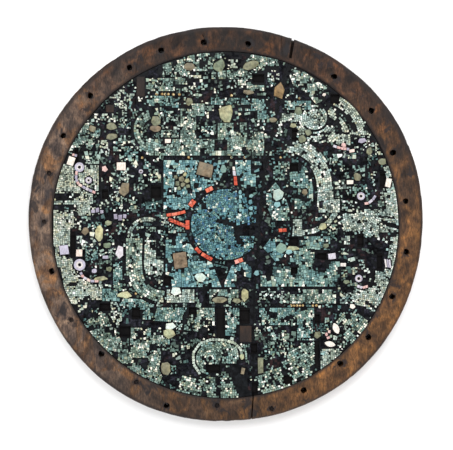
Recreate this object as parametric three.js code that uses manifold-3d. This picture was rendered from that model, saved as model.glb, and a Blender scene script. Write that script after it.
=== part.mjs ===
// A round wooden shield board with a plain pierced border and a field of stone and shell mosaic.
// It lies flat with the mosaic up. Millimetres, +Z up, +Y towards the top of the shield.
import * as THREE from "three";
import { mergeVertices } from "three/addons/utils/BufferGeometryUtils.js";
import Module from "manifold-3d";

const wasm = await Module();
wasm.setup();

// Driving sizes.
const BOARD_RADIUS = 158;
const BOARD_THICKNESS = 18;
const FIELD_RADIUS = 137.4;
const FIELD_CENTRE = [-0.8, -0.3];
const RECESS_DEPTH = 2;
const RESIN_THICKNESS = 1;
const TILE_THICKNESS = 1.5;
const SHELL_THICKNESS = 1.75;
const SOCKET_DEPTH = 2;
const GAP = 0.35;

// Levels worked out from the sizes.
const FLOOR_Z = BOARD_THICKNESS - RECESS_DEPTH;
const RESIN_Z = FLOOR_Z + RESIN_THICKNESS;
const TILE_Z = RESIN_Z + TILE_THICKNESS;
const SHELL_Z = RESIN_Z + SHELL_THICKNESS;
const ABOVE = TILE_Z + 5;

const degrees = Math.PI / 180;

// Flat outlines. Each returns a function that gives the outline's points, grown outwards by a margin.

function rect(x0, y0, x1, y1) {
  return (grow) => [
    [x0 - grow, y0 - grow],
    [x1 + grow, y0 - grow],
    [x1 + grow, y1 + grow],
    [x0 - grow, y1 + grow],
  ];
}

function disc(x, y, radius, sides = 24) {
  return (grow) => arc(x, y, radius + grow, 0, 360, sides).slice(0, sides);
}

function arc(x, y, radius, from, to, steps) {
  const points = [];
  for (let i = 0; i <= steps; i++) {
    const angle = (from + ((to - from) * i) / steps) * degrees;
    points.push([x + radius * Math.cos(angle), y + radius * Math.sin(angle)]);
  }
  return points;
}

// A piece of a ring between two radii and two angles.
function bow(x, y, inner, outer, from, to) {
  return (grow) => {
    const extra = grow / ((inner + outer) / 2) / degrees;
    const steps = Math.max(2, Math.ceil(((to - from) * outer) / 350));
    const out = arc(x, y, outer + grow, from - extra, to + extra, steps);
    const back = arc(x, y, Math.max(inner - grow, 0.01), from - extra, to + extra, steps);
    return out.concat(back.reverse());
  };
}

// A band of one width along a bent line.
function band(width, ...line) {
  return (grow) => {
    const half = width / 2 + grow;
    const left = [];
    const right = [];
    line.forEach((point, i) => {
      const before = line[Math.max(i - 1, 0)];
      const after = line[Math.min(i + 1, line.length - 1)];
      const along = [after[0] - before[0], after[1] - before[1]];
      const length = Math.hypot(...along);
      const [ux, uy] = [along[0] / length, along[1] / length];
      const end = i === 0 ? -grow : i === line.length - 1 ? grow : 0;
      const [x, y] = [point[0] + ux * end, point[1] + uy * end];
      left.push([x - uy * half, y + ux * half]);
      right.push([x + uy * half, y - ux * half]);
    });
    return right.concat(left.reverse());
  };
}

// A convex outline through a few corners, given anticlockwise.
function patch(...corners) {
  return (grow) =>
    corners.map((point, i) => {
      const before = corners[(i + corners.length - 1) % corners.length];
      const after = corners[(i + 1) % corners.length];
      const a = normal(before, point);
      const b = normal(point, after);
      const scale = grow / (1 + a[0] * b[0] + a[1] * b[1]);
      return [point[0] + (a[0] + b[0]) * scale, point[1] + (a[1] + b[1]) * scale];
    });
}

function normal(from, to) {
  const length = Math.hypot(to[0] - from[0], to[1] - from[1]);
  return [(to[1] - from[1]) / length, (from[0] - to[0]) / length];
}

// Solids.

function solidOf(geometry) {
  const bare = geometry.index ? geometry.toNonIndexed() : geometry;
  bare.deleteAttribute("normal");
  bare.deleteAttribute("uv");
  const merged = mergeVertices(bare, 1e-4);
  const vertProperties = merged.attributes.position.array;
  const triVerts = new Uint32Array(merged.index.array);
  return new wasm.Manifold(new wasm.Mesh({ numProp: 3, vertProperties, triVerts }));
}

function prism(points, low, high) {
  const shape = new THREE.Shape(points.map(([x, y]) => new THREE.Vector2(x, y)));
  const geometry = new THREE.ExtrudeGeometry(shape, { depth: high - low, bevelEnabled: false });
  geometry.translate(0, 0, low);
  return solidOf(geometry);
}

function slab(outlines, low, high, grow = 0) {
  return outlines
    .map((outline) => prism(outline(grow), low, high))
    .reduce((whole, piece) => whole.add(piece));
}

function largest(solid) {
  return solid.decompose().reduce((best, piece) => (piece.volume() > best.volume() ? piece : best));
}

const group = new THREE.Group();

function addMesh(name, solid, colour, roughness) {
  const mesh = solid.getMesh();
  const geometry = new THREE.BufferGeometry();
  geometry.setAttribute("position", new THREE.BufferAttribute(mesh.vertProperties, 3));
  geometry.setIndex(new THREE.BufferAttribute(mesh.triVerts, 1));
  geometry.computeVertexNormals();
  const material = new THREE.MeshStandardMaterial({
    color: colour,
    roughness,
    metalness: 0,
    flatShading: true,
  });
  const piece = new THREE.Mesh(geometry, material);
  piece.name = name;
  group.add(piece);
}

// The grooves that draw the design: two level lines, the winding band's edges and the sun's frame.
const grooves = [
  band(3.2, [-67, 104], [-20, 103], [62, 100]),
  band(2.8, [-74, 53.2], [48, 53.2], [57, 51.5], [64, 46.5], [69, 37], [71, 25], [70, 11]),
  band(1.4, [78, 57], [82, 48], [85, 36], [86, 20]),
  band(2.6, [-50, 9.4], [-70, 9], [-77, 4], [-81, -6], [-81.5, -38], [-77, -50], [-68, -58]),
  band(2.6, [-69.5, -57], [-60, -61.5], [-48, -63.6], [10, -64.6], [90, -64.2]),
  band(1.5, [-65.5, -9], [-66.5, -25], [-66, -36], [-61, -43]),
  band(1.6, [-49, -50.6], [90, -50.6]),
  bow(0, 0, 28.2, 32.6, 0, 120),
  bow(0, 0, 28.2, 32.6, 118, 240),
  bow(0, 0, 28.2, 32.6, 238, 362),
  bow(0, 0, 51.4, 52.8, -40, 44),
  patch([-8.5, 29], [12.5, 29], [2.5, 51]),
  patch([-12, -29], [-3.5, -51], [5.5, -29]),
  bow(70, 85, 10.6, 11.8, 215, 350),
  bow(72, 66, 27, 31, 18, 52),
  bow(72, 66, 17.5, 21.5, 18, 62),
  patch([69, 58.5], [76, 57], [87, 60.5], [85, 63.5], [73, 62.5]),
];

// The split that runs down the board and the tiles lost along it.
const crack = [
  [52, 136],
  [46, 117],
  [41, 92],
  [34, 62],
  [28.5, 32],
  [27, 5],
  [24, -28],
  [21.5, -66],
  [21, -100],
  [21.5, -138],
];
const crackLoss = [band(7, ...crack)];

// Sockets that go through the resin into the wood, as [left, bottom, right, top].
const sockets = [
  [-101, -69, -92.5, -62.5],
  [-75, -75, -68.5, -66],
  [-85, -90, -76, -80.5],
  [-30, -71.5, -24, -65.8],
  [-50, -49, -44, -41],
  [45, -127, 52.5, -120],
  [10.5, -79, 18.5, -66.5],
  [19.5, -103, 24.5, -94],
  [20, -136, 25, -125],
  [70, -79, 74, -71],
  [70, -114, 74, -92.5],
  [51, -39, 56.5, -34],
  [72, -28, 79.5, -22.5],
  [50, -17, 57, -10],
  [50.5, 42, 57, 48.5],
  [52, 66.5, 56.5, 76],
  [82.5, 95.5, 90, 104],
  [121.8, 28.5, 126, 42],
  [119.5, -37, 124, -23],
  [-121, 47.5, -117.5, 61],
  [-124, -26.5, -120, -6],
  [-60, 20.5, -52, 31],
  [-99, 20, -94, 28],
  [104, -18, 109, -8],
  [20.5, 112.5, 30, 119.5],
  [-8, -90, -1.5, -66.5],
  [-16.5, -118, -5, -111.5],
];

// Places where tiles are lost and the resin shows, as [left, bottom, right, top].
const losses = [
  // Sun and the four fields round it.
  [9.2, -9.2, 30, -0.6],
  [-5.6, 0.6, 2, 4],
  [-20, 12, -16, 17],
  [8, -16, 11, -11.5],
  [16, 19, 29, 30],
  [-46.5, 24, -41.5, 29],
  [-31, 24.5, -27, 28],
  [-47, -38, -43.5, -30.5],
  [-27, -29, -17, -24],
  [-36, -38.5, -33.5, -35],
  [10, 8.5, 12.2, 30],
  [-19, -51, -14, -47.5],
  [-8.5, 37, -6, 40],
  // Upper band and loop.
  [-9.5, 58.6, 0.6, 67],
  [-21, 54, -17.3, 60.5],
  [14, 54, 20, 59.4],
  [-54, 57.5, -50, 60],
  [-25, 71, -22, 75],
  [-50, 62, -47.6, 64.5],
  // Crown and top fields.
  [-21.5, 123.5, -18.5, 131],
  [-22, 113, -12, 121.4],
  [3, 121.5, 9, 125],
  [58, 108.5, 64, 112],
  [50, 106, 55, 110],
  [70, 101, 76, 106],
  [12, 92, 19.5, 95],
  [-54, 111, -51, 114],
  // Right fields.
  [57, 20, 64, 23.6],
  [76, 67, 80, 70.5],
  [73.5, 13, 76.5, 18.5],
  [50, -33.5, 55, -30],
  [69, -37, 79, -29],
  [66.5, -22, 70.5, -19.6],
  [60, -32, 62.5, -29.5],
  [85, -10, 91, -4],
  [104, 1, 106.5, 4],
  [120.5, -10, 135, -6.4],
  [111, 12.5, 118, 19],
  // Lower band and panels.
  [34.5, -74.5, 39.5, -70],
  [43, -78, 46, -75.5],
  [-17, -80, -11.5, -76],
  [3, -74, 5.5, -71],
  [73, -55, 76, -51.5],
  [-3, -104.5, 1.5, -99.5],
  // Lower left.
  [-72, -112, -62, -106],
  [-61, -100, -56, -95],
  [-97, -86, -89, -81],
  [-83, -99, -76.5, -89],
  [-70.5, -90, -66, -84],
  [-104, -83, -100, -79.5],
  [-90, -107, -86, -101],
  [-125, -49, -119, -46],
  [-61, -19, -56.5, -14],
  [-112.5, -8, -107, -3],
  // Bottom rim.
  [-19.5, -137, -16, -126],
  [-8, -136, -4.5, -122],
  [43, -118, 47, -114],
  [57, -117, 60, -113],
  [33, -127, 36, -123],
  [96, -76, 99, -72],
  [101, -88, 104, -84],
].concat(sockets);
const box = (corners) => rect(...corners);

// Places where the resin is gone too and the wood shows, as [left, bottom, right, top].
const bareWood = [
  [-71.5, 101.5, -65, 117.5],
  [-96, 89, -89.5, 95],
  [10.5, -93.5, 20, -80.5],
];

// Red and pink shell of the sun's ring and rays, set in the groove.
const shells = [
  ["ring_shell_left", [band(4.2, [-29, 14.4], [-25.6, 19.2])]],
  ["ring_shell_top", [band(3.5, [-16.4, 26.4], [-11, 29])]],
  ["ring_shell_lower_left_1", [band(3.1, [-24.6, -18.6], [-20.6, -22.6])]],
  ["ring_shell_lower_left_2", [band(3.1, [-19.8, -23.3], [-11.4, -28.2])]],
  ["ring_shell_bottom", [band(3.3, [6.6, -30], [13, -27.9])]],
  ["left_ray_upper_shell", [band(2.6, [-47.6, 7.3], [-40.4, 8.2], [-32.6, 10.2])]],
  ["left_ray_lower_shell", [band(3, [-46, 4.2], [-32.2, -1.6]), rect(-32.5, -4, -29.3, 3.4)]],
  ["top_ray_shell", [patch([6, 31], [8.9, 31], [8.2, 38.2], [5.6, 38.2])]],
  ["top_ray_white_shell", [patch([5.2, 38.6], [7.8, 38.6], [6.6, 46], [4.6, 46])]],
  ["right_ray_shell", [band(2.9, [41.4, -4.8], [47.8, -4.4])]],
];

// Shell rings that are the eyes of the four side figures, as [name, x, y, outer radius, hole radius].
const eyes = [
  ["upper_left_eye", -116.8, 45.4, 3.9, 1.2],
  ["lower_left_eye", -116.6, -32.1, 4.7, 1.3],
  ["upper_right_eye", 106.8, 22.4, 3.2, 1.1],
  ["lower_right_eye", 105, -43, 3, 1.2],
];

// Pointed shell pieces of the lower right figure.
const almonds = [
  ["almond_shell_upper", 87, -82.6, 9.6, 5.2, 112],
  ["almond_shell_lower", 82.2, -95, 9.4, 4.6, -12],
];

// Tiled fields. Each is one sheet of touching tiles, cut by the grooves and the losses.
const fields = [
  ["sun_disc", [disc(0, 0, 28.2, 60)]],
  ["sun_field_upper_left", [rect(-50, 11.6, -20, 51), rect(-20.2, 24, 2.6, 51)]],
  ["sun_field_upper_right", [rect(7, 38, 19.4, 51), rect(11, 25, 23.4, 40)]],
  ["sun_field_right", [patch([37, 3], [50, 3], [50, 38], [40, 35], [31, 24], [32, 14])]],
  ["sun_field_lower_left", [rect(-48.4, -50, -20, -12), rect(-40, -14, -26, -7), rect(-20.2, -50, -2, -24)]],
  ["sun_field_lower_right", [rect(-3, -50, 8, -30), rect(7.8, -37, 19.4, -30), rect(14, -42.5, 20.4, -35)]],
  ["sun_field_lower_far_right", [patch([29, -18.5], [42, -33], [50, -33], [50, -15.5], [36.5, -9])]],
  ["upper_band", [
    rect(-64, 54.6, 0.5, 67.8),
    rect(-69.4, 58.6, -63.8, 67.8),
    rect(0.4, 54.6, 30, 67.4),
    bow(-57, 75, 9, 17.4, 98, 182),
    bow(-57, 75, 13.6, 17.4, 181, 232),
    rect(-36.6, 67.6, -24, 92),
    rect(-28, 86, -17.4, 96),
    rect(-7, 67.2, 5.6, 80.6),
    rect(5.4, 67.2, 16.4, 73.6),
    rect(10.6, 73.4, 16.2, 81),
    rect(22, 67, 29.4, 73.5),
  ]],
  ["upper_strip_left", [patch([-66, 94], [-43, 94], [-43, 102.2], [-64, 102.2]), rect(-43.2, 92.6, -38, 97)]],
  ["upper_strip_middle", [rect(-12.4, 95, 33, 101.4), rect(9.4, 90, 33, 95.2), rect(24.6, 81, 34, 90.2)]],
  ["upper_strip_right", [rect(46.2, 91, 67.2, 98.2)]],
  ["upper_block", [rect(-64, 105.8, -41, 116.2)]],
  ["crown_left", [
    patch([-53, 118.6], [-29, 118.6], [-29, 133], [-53, 126.5]),
    rect(-34, 121.6, -4, 136),
    rect(-41, 111, -31, 119),
    rect(-12, 115.4, -0.5, 122),
  ]],
  ["crown_middle", [
    rect(0.2, 115.4, 9.2, 122.4),
    patch([9, 110.4], [21, 110.4], [20, 120], [11, 124.6], [9, 122]),
    rect(16, 106, 30, 110.6),
  ]],
  ["crown_right", [patch([12, 126], [24, 121.6], [42, 123.4], [41, 131], [20, 135])]],
  ["upper_right_field", [
    patch([50, 118], [54, 108], [66, 105], [80, 108.6], [62, 121], [51, 123.6]),
    patch([62, 106], [71, 95.5], [76, 98], [80, 109]),
  ]],
  ["scroll_field", [
    rect(55, 65, 86.4, 78),
    rect(42, 81.4, 60, 88.4),
    rect(36.8, 70, 44, 81.6),
    rect(58, 76, 70, 88.6),
    disc(70, 85, 10.6, 30),
  ]],
  ["feather_field", [
    bow(72, 66, 21.6, 26.8, 16, 62),
    bow(72, 66, 31.2, 41, 20, 66),
    patch([80, 84], [88, 91], [97, 97], [89, 92.4], [80, 91]),
    rect(87, 62.4, 99, 72),
    patch([98, 71], [114.6, 70.4], [109, 78.6], [100, 79]),
  ]],
  ["right_band", [
    patch([45, 56.4], [61.6, 56.4], [68, 63], [56, 65.8], [48, 62]),
    band(13, [60, 61], [70.4, 53.6], [76.4, 41], [78.4, 28], [78.4, 14]),
    rect(73, 9.4, 90, 20),
  ]],
  ["right_band_end", [rect(50, -9.4, 60, 4.2), band(4, [59, -7], [70, -5], [80, 0.4], [87, 9.4]), disc(76.6, -1.2, 3.4, 8)]],
  ["right_shield_field", [
    patch([50, 29], [68.4, 29], [67.4, 38], [63.4, 45], [57, 49], [50, 43]),
    rect(56.8, 18, 68.8, 30),
    rect(54, 12.2, 67.6, 20.4),
  ]],
  ["lower_right_field", [
    rect(58, -20.2, 82.4, -9.4),
    rect(48.2, -31, 70, -17.6),
    rect(43, -49.4, 68, -28),
    rect(27, -49.4, 50, -40.6),
    rect(36.6, -41, 48, -33.6),
    rect(66, -49.4, 88, -35.6),
    rect(79, -42, 90, -29.4),
    rect(70, -49.4, 86, -44),
  ]],
  ["lower_band_left", [rect(-47.4, -62.2, -25.4, -51.6)]],
  ["lower_band_middle", [rect(-13.6, -63, 3.6, -51.6), rect(3.4, -60, 9.6, -51.6)]],
  ["lower_band_right", [rect(50.4, -62.8, 87, -55.4), rect(60.4, -56, 69.4, -51.6), rect(69.2, -56, 84, -51.6)]],
  ["left_band", [
    rect(-79.8, -40, -66.6, -11),
    band(11.6, [-73.4, -36], [-71.4, -45], [-65, -53], [-57, -57.4], [-50, -58.8]),
  ]],
  ["left_inner_band", [rect(-65.2, -30, -56, -12.4), rect(-66, -40, -49.8, -28)]],
  ["left_loop_top", [bow(-63, -10, 12.6, 16.4, 66, 166)]],
  ["lower_left_field", [
    rect(-90, -53, -82.6, -29),
    rect(-98.6, -61, -78, -51),
    patch([-84, -68], [-60, -70], [-57, -63], [-68, -59.4], [-86, -58]),
    rect(-66.6, -75.6, -58, -66),
  ]],
  ["left_side_field", [
    rect(-137, 24.6, -120, 48),
    rect(-121, 24, -101.4, 41),
    rect(-113, 40, -101.4, 47),
    rect(-137, 15.8, -116, 20.6),
    rect(-119, 7, -106, 26),
    rect(-108, 8, -98, 13.6),
    rect(-137.4, -17.4, -124.2, 11.4),
    rect(-124.4, -3, -119, 11.4),
    rect(-136, -34, -128, -17),
    patch([-133, -26.4], [-127, -62], [-120, -63.6], [-108, -58], [-106, -47], [-120, -38.6], [-122.6, -26.4]),
    rect(-110, -60, -98, -47.6),
  ]],
  ["upper_left_rim_field", [bow(0, 0, 123, 138, 143, 151.4), bow(0, 0, 130.6, 138, 151, 155.6)]],
  ["bottom_left_rim_field", [
    bow(0, 0, 121, 138, 214.6, 247.2),
    rect(-78, -120, -52, -96),
    rect(-78, -97, -60, -82),
    rect(-102, -82, -92, -70.6),
    rect(-60.4, -100, -45, -88),
  ]],
  ["bottom_left_panel", [patch([-58.6, -76.6], [-34, -78], [-31.4, -66], [-55, -66])]],
  ["bottom_green_panel", [rect(-23.6, -80.4, -9.4, -66.2), patch([-34, -84], [-16, -86], [-14, -73], [-33, -74.6])]],
  ["bottom_middle_panel", [rect(-1, -79.6, 10.2, -66.2), rect(-1, -88.4, 7.6, -79)]],
  ["bottom_right_panel", [rect(26, -73.6, 69.6, -66.2), rect(28, -80, 50, -73), rect(56, -90, 68.6, -73)]],
  ["roundel", [
    bow(-13, -106.4, 9.4, 14.4, 92, 268),
    bow(-13, -106.4, 0.4, 9.6, 90, 230),
    rect(-13.2, -111, 8, -93.4),
    rect(7.6, -108, 16, -95),
  ]],
  ["bottom_rim_field", [
    bow(0, 0, 124.6, 138, 253.4, 262),
    bow(0, 0, 121.4, 138, 261.6, 277.4),
    patch([-3, -124], [12, -124], [12, -112], [-1, -112]),
  ]],
  ["bottom_right_rim_field", [
    bow(0, 0, 121.4, 138, 281, 298),
    rect(44, -122, 68, -109),
    rect(48.4, -109.2, 60, -98),
    rect(58, -112, 69.6, -94),
  ]],
  ["lower_right_wedge", [patch([74.6, -99], [74.6, -116], [83, -112], [94, -98.4])]],
  ["lower_right_rim_field", [
    bow(0, 0, 128, 138, 315.6, 325),
    patch([86, -79], [90, -71], [103, -68], [112, -76], [104, -90], [96, -80]),
  ]],
  ["right_side_field", [
    bow(0, 0, 127.4, 138, 3, 15.4),
    bow(0, 0, 132.4, 138, 15, 20),
    rect(92, -5.6, 138, 8.6),
    rect(103, 8.4, 132, 12.4),
    rect(108, -10, 131, -5),
    bow(0, 0, 130.6, 138, 336, 363.4),
    bow(0, 0, 122, 138, 329.4, 343),
    patch([98, -62], [112, -66.6], [122, -57], [112, -48.6], [100, -53]),
  ]],
];

// The board's outline is a circle that the carver left a little out of round:
// each entry is how many times the wave goes round, its size and where it is fullest.
const waves = [
  [1, 1, 147],
  [3, 0.67, 20],
  [4, 0.6, 45],
  [5, 0.35, 24],
];

function boardRadius(angle) {
  return waves.reduce(
    (radius, [times, size, fullest]) => radius + size * Math.cos(times * (angle - fullest) * degrees),
    BOARD_RADIUS,
  );
}

function boardRing(inset) {
  const steps = 108;
  const points = [];
  for (let i = 0; i < steps; i++) {
    const angle = (360 * i) / steps;
    const radius = boardRadius(angle) - inset;
    points.push([radius * Math.cos(angle * degrees), radius * Math.sin(angle * degrees)]);
  }
  return points;
}

// Holes along the border, as [angle, distance from the middle].
const borderHoles = [
  [7.3, 143.5],
  [23.4, 144.1],
  [38.1, 146.3],
  [53.9, 145.3],
  [83.2, 144.6],
  [97.1, 146],
  [110.5, 147.8],
  [121.7, 146.4],
  [136.6, 149],
  [151.5, 147.6],
  [163.9, 146.6],
  [179.2, 144.9],
  [195, 144],
  [211.6, 144.8],
  [226, 143.3],
  [240.3, 144.3],
  [251.7, 151.6],
  [267, 144.1],
  [283.7, 150.7],
  [295, 145.3],
  [309.3, 142.8],
  [321.5, 144.2],
  [336.5, 143.6],
  [351.3, 144.6],
];
const HOLE_RADIUS = 1.75;

// A stack of closed rings with the same number of points, joined into one solid.
function loft(rings) {
  const count = rings[0].points.length;
  const vertices = rings.flatMap(({ points, z }) => points.map(([x, y]) => [x, y, z]));
  const faces = [];
  for (let r = 0; r + 1 < rings.length; r++) {
    for (let i = 0; i < count; i++) {
      const next = (i + 1) % count;
      const [a, b] = [r * count + i, r * count + next];
      const [c, d] = [a + count, b + count];
      faces.push([a, b, d], [a, d, c]);
    }
  }
  const flat = rings[0].points.map(([x, y]) => new THREE.Vector2(x, y));
  const top = (rings.length - 1) * count;
  THREE.ShapeUtils.triangulateShape(flat, []).forEach(([a, b, c]) => {
    faces.push([a, c, b]);
    faces.push([top + a, top + b, top + c]);
  });
  const vertProperties = new Float32Array(vertices.flat());
  const triVerts = new Uint32Array(faces.flat());
  return new wasm.Manifold(new wasm.Mesh({ numProp: 3, vertProperties, triVerts }));
}

function woodenDisc() {
  const bottomChamfer = 2.5;
  const topChamfer = 1.6;
  const blank = loft([
    { points: boardRing(bottomChamfer), z: 0 },
    { points: boardRing(0), z: bottomChamfer },
    { points: boardRing(0), z: BOARD_THICKNESS - topChamfer },
    { points: boardRing(topChamfer), z: BOARD_THICKNESS },
  ]);
  const recess = slab([disc(...FIELD_CENTRE, FIELD_RADIUS + 0.5, 96)], FLOOR_Z, ABOVE);
  const holes = slab(
    borderHoles.map(([angle, distance]) =>
      disc(distance * Math.cos(angle * degrees), distance * Math.sin(angle * degrees), HOLE_RADIUS, 8),
    ),
    -1,
    ABOVE,
  );
  const notch = slab([patch([50.3, 134], [51.6, 134], [58, 160], [54.6, 160])], 5, ABOVE);
  const slit = slab([band(0.8, [21.4, -134], [19.6, -146], [19.4, -160])], 10, ABOVE);
  const deep = slab(sockets.map(box), FLOOR_Z - SOCKET_DEPTH, ABOVE);
  return largest(blank.subtract(recess).subtract(holes).subtract(notch).subtract(slit).subtract(deep));
}

function resinBed() {
  const sheet = slab([disc(...FIELD_CENTRE, FIELD_RADIUS, 96)], FLOOR_Z, RESIN_Z);
  const openings = slab(sockets.concat(bareWood).map(box), FLOOR_Z - 1, ABOVE);
  const slit = slab([band(1, ...crack)], FLOOR_Z + 0.4, ABOVE);
  return largest(sheet.subtract(openings).subtract(slit));
}

function almond(x, y, length, width, tilt) {
  const radius = (length * length + width * width) / (4 * width);
  const half = Math.asin(length / 2 / radius) / degrees;
  const side = (turn) =>
    arc(0, width / 2 - radius, radius, 90 - half, 90 + half, 6)
      .slice(0, 6)
      .map(([px, py]) => {
        const angle = (tilt + turn) * degrees;
        return [
          x + px * Math.cos(angle) - py * Math.sin(angle),
          y + px * Math.sin(angle) + py * Math.cos(angle),
        ];
      });
  return side(0).concat(side(180));
}

addMesh("wooden_disc", woodenDisc(), "#6b4630", 0.75);
addMesh("resin_bed", resinBed(), "#17181c", 0.35);

let taken = slab([...crackLoss, ...losses.map(box), ...grooves], RESIN_Z - 1, ABOVE);
const round = slab([disc(...FIELD_CENTRE, FIELD_RADIUS, 96)], RESIN_Z - 1, ABOVE);

for (const [name, outlines] of shells) {
  addMesh(name, slab(outlines, RESIN_Z, SHELL_Z), name.includes("white") ? "#efe6d8" : "#c4492f", 0.4);
  taken = taken.add(slab(outlines, RESIN_Z - 1, ABOVE, GAP));
}

for (const [name, x, y, outer, inner] of eyes) {
  const ring = slab([disc(x, y, outer, 20)], RESIN_Z, SHELL_Z);
  const hole = slab([disc(x, y, inner, 10)], RESIN_Z - 1, ABOVE);
  addMesh(name, ring.subtract(hole), "#c9c6dc", 0.35);
  taken = taken.add(slab([disc(x, y, outer, 20)], RESIN_Z - 1, ABOVE, GAP));
}

for (const [name, x, y, length, width, tilt] of almonds) {
  addMesh(name, prism(almond(x, y, length, width, tilt), RESIN_Z, SHELL_Z), "#efe2c8", 0.4);
  taken = taken.add(prism(almond(x, y, length + 1, width + 1, tilt), RESIN_Z - 1, ABOVE));
}

for (const [name, outlines] of fields) {
  const sheet = slab(outlines, RESIN_Z, TILE_Z).intersect(round).subtract(taken);
  addMesh(name, largest(sheet), name.startsWith("sun") ? "#3f8296" : "#86a89c", 0.5);
  taken = taken.add(slab(outlines, RESIN_Z - 1, ABOVE, GAP));
}

// The origin is the middle of the whole shield's footprint.
const bounds = new THREE.Box3().setFromObject(group);
const middle = bounds.getCenter(new THREE.Vector3());
for (const piece of group.children) {
  piece.geometry.translate(-middle.x, -middle.y, -bounds.min.z);
}

export default group;
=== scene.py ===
# %% [markdown]
# This lesson dresses a round wooden shield whose face is a mosaic of turquoise and shell, set in
# dark resin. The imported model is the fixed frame: every piece made here sits where its own solid
# sits. Places on the face are given in millimetres from the middle of the sun, so the first cell
# finds that middle and the levels of the board, the resin and the tiles from the frame.

# %% Load the frame and find its levels
import math
import random

import bmesh
import bpy
from mathutils import Matrix, Vector, noise
from mathutils.bvhtree import BVHTree


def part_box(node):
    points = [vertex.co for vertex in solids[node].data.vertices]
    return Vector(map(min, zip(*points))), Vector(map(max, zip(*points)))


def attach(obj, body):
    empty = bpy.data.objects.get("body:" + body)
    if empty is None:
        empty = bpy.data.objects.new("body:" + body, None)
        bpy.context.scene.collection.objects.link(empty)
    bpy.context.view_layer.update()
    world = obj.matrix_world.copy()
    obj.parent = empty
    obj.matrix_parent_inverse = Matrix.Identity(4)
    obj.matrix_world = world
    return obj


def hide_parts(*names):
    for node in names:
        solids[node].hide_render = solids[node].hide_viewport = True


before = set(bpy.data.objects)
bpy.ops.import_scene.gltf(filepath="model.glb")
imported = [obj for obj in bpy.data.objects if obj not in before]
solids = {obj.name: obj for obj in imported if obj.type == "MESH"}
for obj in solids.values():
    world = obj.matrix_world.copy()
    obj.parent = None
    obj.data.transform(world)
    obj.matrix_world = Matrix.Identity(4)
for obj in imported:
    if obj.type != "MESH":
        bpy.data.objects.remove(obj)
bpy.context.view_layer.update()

mm = 0.001
SUN_RADIUS = 28.2 * mm
BOARD_RADIUS = 158 * mm
FIELD_RADIUS = 137.9 * mm
sun_low, sun_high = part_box("sun_disc")
sun = Vector((sun_low.x + SUN_RADIUS, sun_high.y - SUN_RADIUS, 0))
field_centre = sun + Vector((-0.8, -0.3, 0)) * mm
rim_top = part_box("wooden_disc")[1].z
floor_top, resin_top = (corner.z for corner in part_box("resin_bed"))
tile_top, shell_top = sun_high.z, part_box("left_ray_lower_shell")[1].z
# Tiles and stones reach a little way down into the resin that holds them.
tile_base = resin_top - 0.2 * mm


def at(x, y, z=0.0):
    """A place on the face, in millimetres from the middle of the sun, with its height in metres."""
    return Vector((sun.x + x * mm, sun.y + y * mm, z))


print("levels", [round(z / mm, 2) for z in (floor_top, resin_top, rim_top, tile_top, shell_top)])

# %% [markdown]
# Every new mesh is built in a bmesh and then becomes an object at the origin that rides on the
# shield's one body. One small function does that for all of them, so no piece is forgotten. A copy
# of a solid from the frame is loose triangles, so it is merged before anything is done to it.

# %% Turn a bmesh into a piece


def make_piece(name, bm, materials, stands_for=(), smooth=None):
    """Makes a bmesh an object that rides on the shield, has a finish slot and stands for some solids."""
    bmesh.ops.recalc_face_normals(bm, faces=bm.faces[:])
    for face in bm.faces:
        face.smooth = smooth is not None
    mesh = bpy.data.meshes.new(name)
    bm.to_mesh(mesh)
    bm.free()
    if smooth is not None:
        mesh.set_sharp_from_angle(angle=math.radians(smooth))
    piece = bpy.data.objects.new(name, mesh)
    bpy.context.scene.collection.objects.link(piece)
    for material in materials:
        mesh.materials.append(material)
    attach(piece, "root")
    if stands_for:
        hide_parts(*stands_for)
    print(name, sum(len(p.vertices) - 2 for p in mesh.polygons), "triangles")


def merged_copy(node):
    """A bmesh of one solid of the frame, with its loose triangles joined up."""
    bm = bmesh.new()
    bm.from_mesh(solids[node].data)
    bmesh.ops.remove_doubles(bm, verts=bm.verts, dist=0.001 * mm)
    return bm


print("ready to make pieces")

# %% [markdown]
# Finishes are node materials. Old wood, resin and turquoise all need the same few things: a colour
# that drifts over the surface, finer speckle, and a bump that catches the light. The first helpers
# add a node, a noise and a few kinds of mixing in one line each.

# %% Nodes, noise and mixing


def add_node(tree, kind, links=None, values=None, **settings):
    """A new node with its settings, its plain values and what is plugged into it."""
    node = tree.nodes.new(kind)
    for name, value in settings.items():
        setattr(node, name, value)
    for name, value in (values or {}).items():
        node.inputs[name].default_value = value
    for name, source in (links or {}).items():
        tree.links.new(source, node.inputs[name])
    return node


def new_finish(name, roughness, shine=0.3):
    """A new material, its tree, its shader and the place on the object that patterns are read from."""
    material = bpy.data.materials.new(name)
    material.use_nodes = True
    tree = material.node_tree
    shader = tree.nodes["Principled BSDF"]
    shader.inputs["Roughness"].default_value = roughness
    shader.inputs["Specular IOR Level"].default_value = shine
    place = add_node(tree, "ShaderNodeTexCoord").outputs["Object"]
    return material, tree, shader, place


def speckle(tree, place, size, detail=3.0, rough=0.55, stretch=(1, 1, 1), warp=0.0):
    """Noise whose features are about size millimetres, drawn out along an axis by stretch."""
    scale = tuple(1 / (s * size * mm) for s in stretch)
    mapped = add_node(tree, "ShaderNodeMapping", {"Vector": place}, {"Scale": scale})
    grain = add_node(
        tree,
        "ShaderNodeTexNoise",
        {"Vector": mapped.outputs["Vector"]},
        {"Scale": 1.0, "Detail": detail, "Roughness": rough, "Distortion": warp},
    )
    return grain.outputs["Fac"]


def between(tree, factor, low, high, start=0.0, end=1.0):
    """Runs smoothly from start to end as the factor goes from low to high."""
    limits = {"From Min": low, "From Max": high, "To Min": start, "To Max": end}
    node = add_node(
        tree, "ShaderNodeMapRange", {"Value": factor}, limits, interpolation_type="SMOOTHSTEP"
    )
    return node.outputs["Result"]


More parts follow.
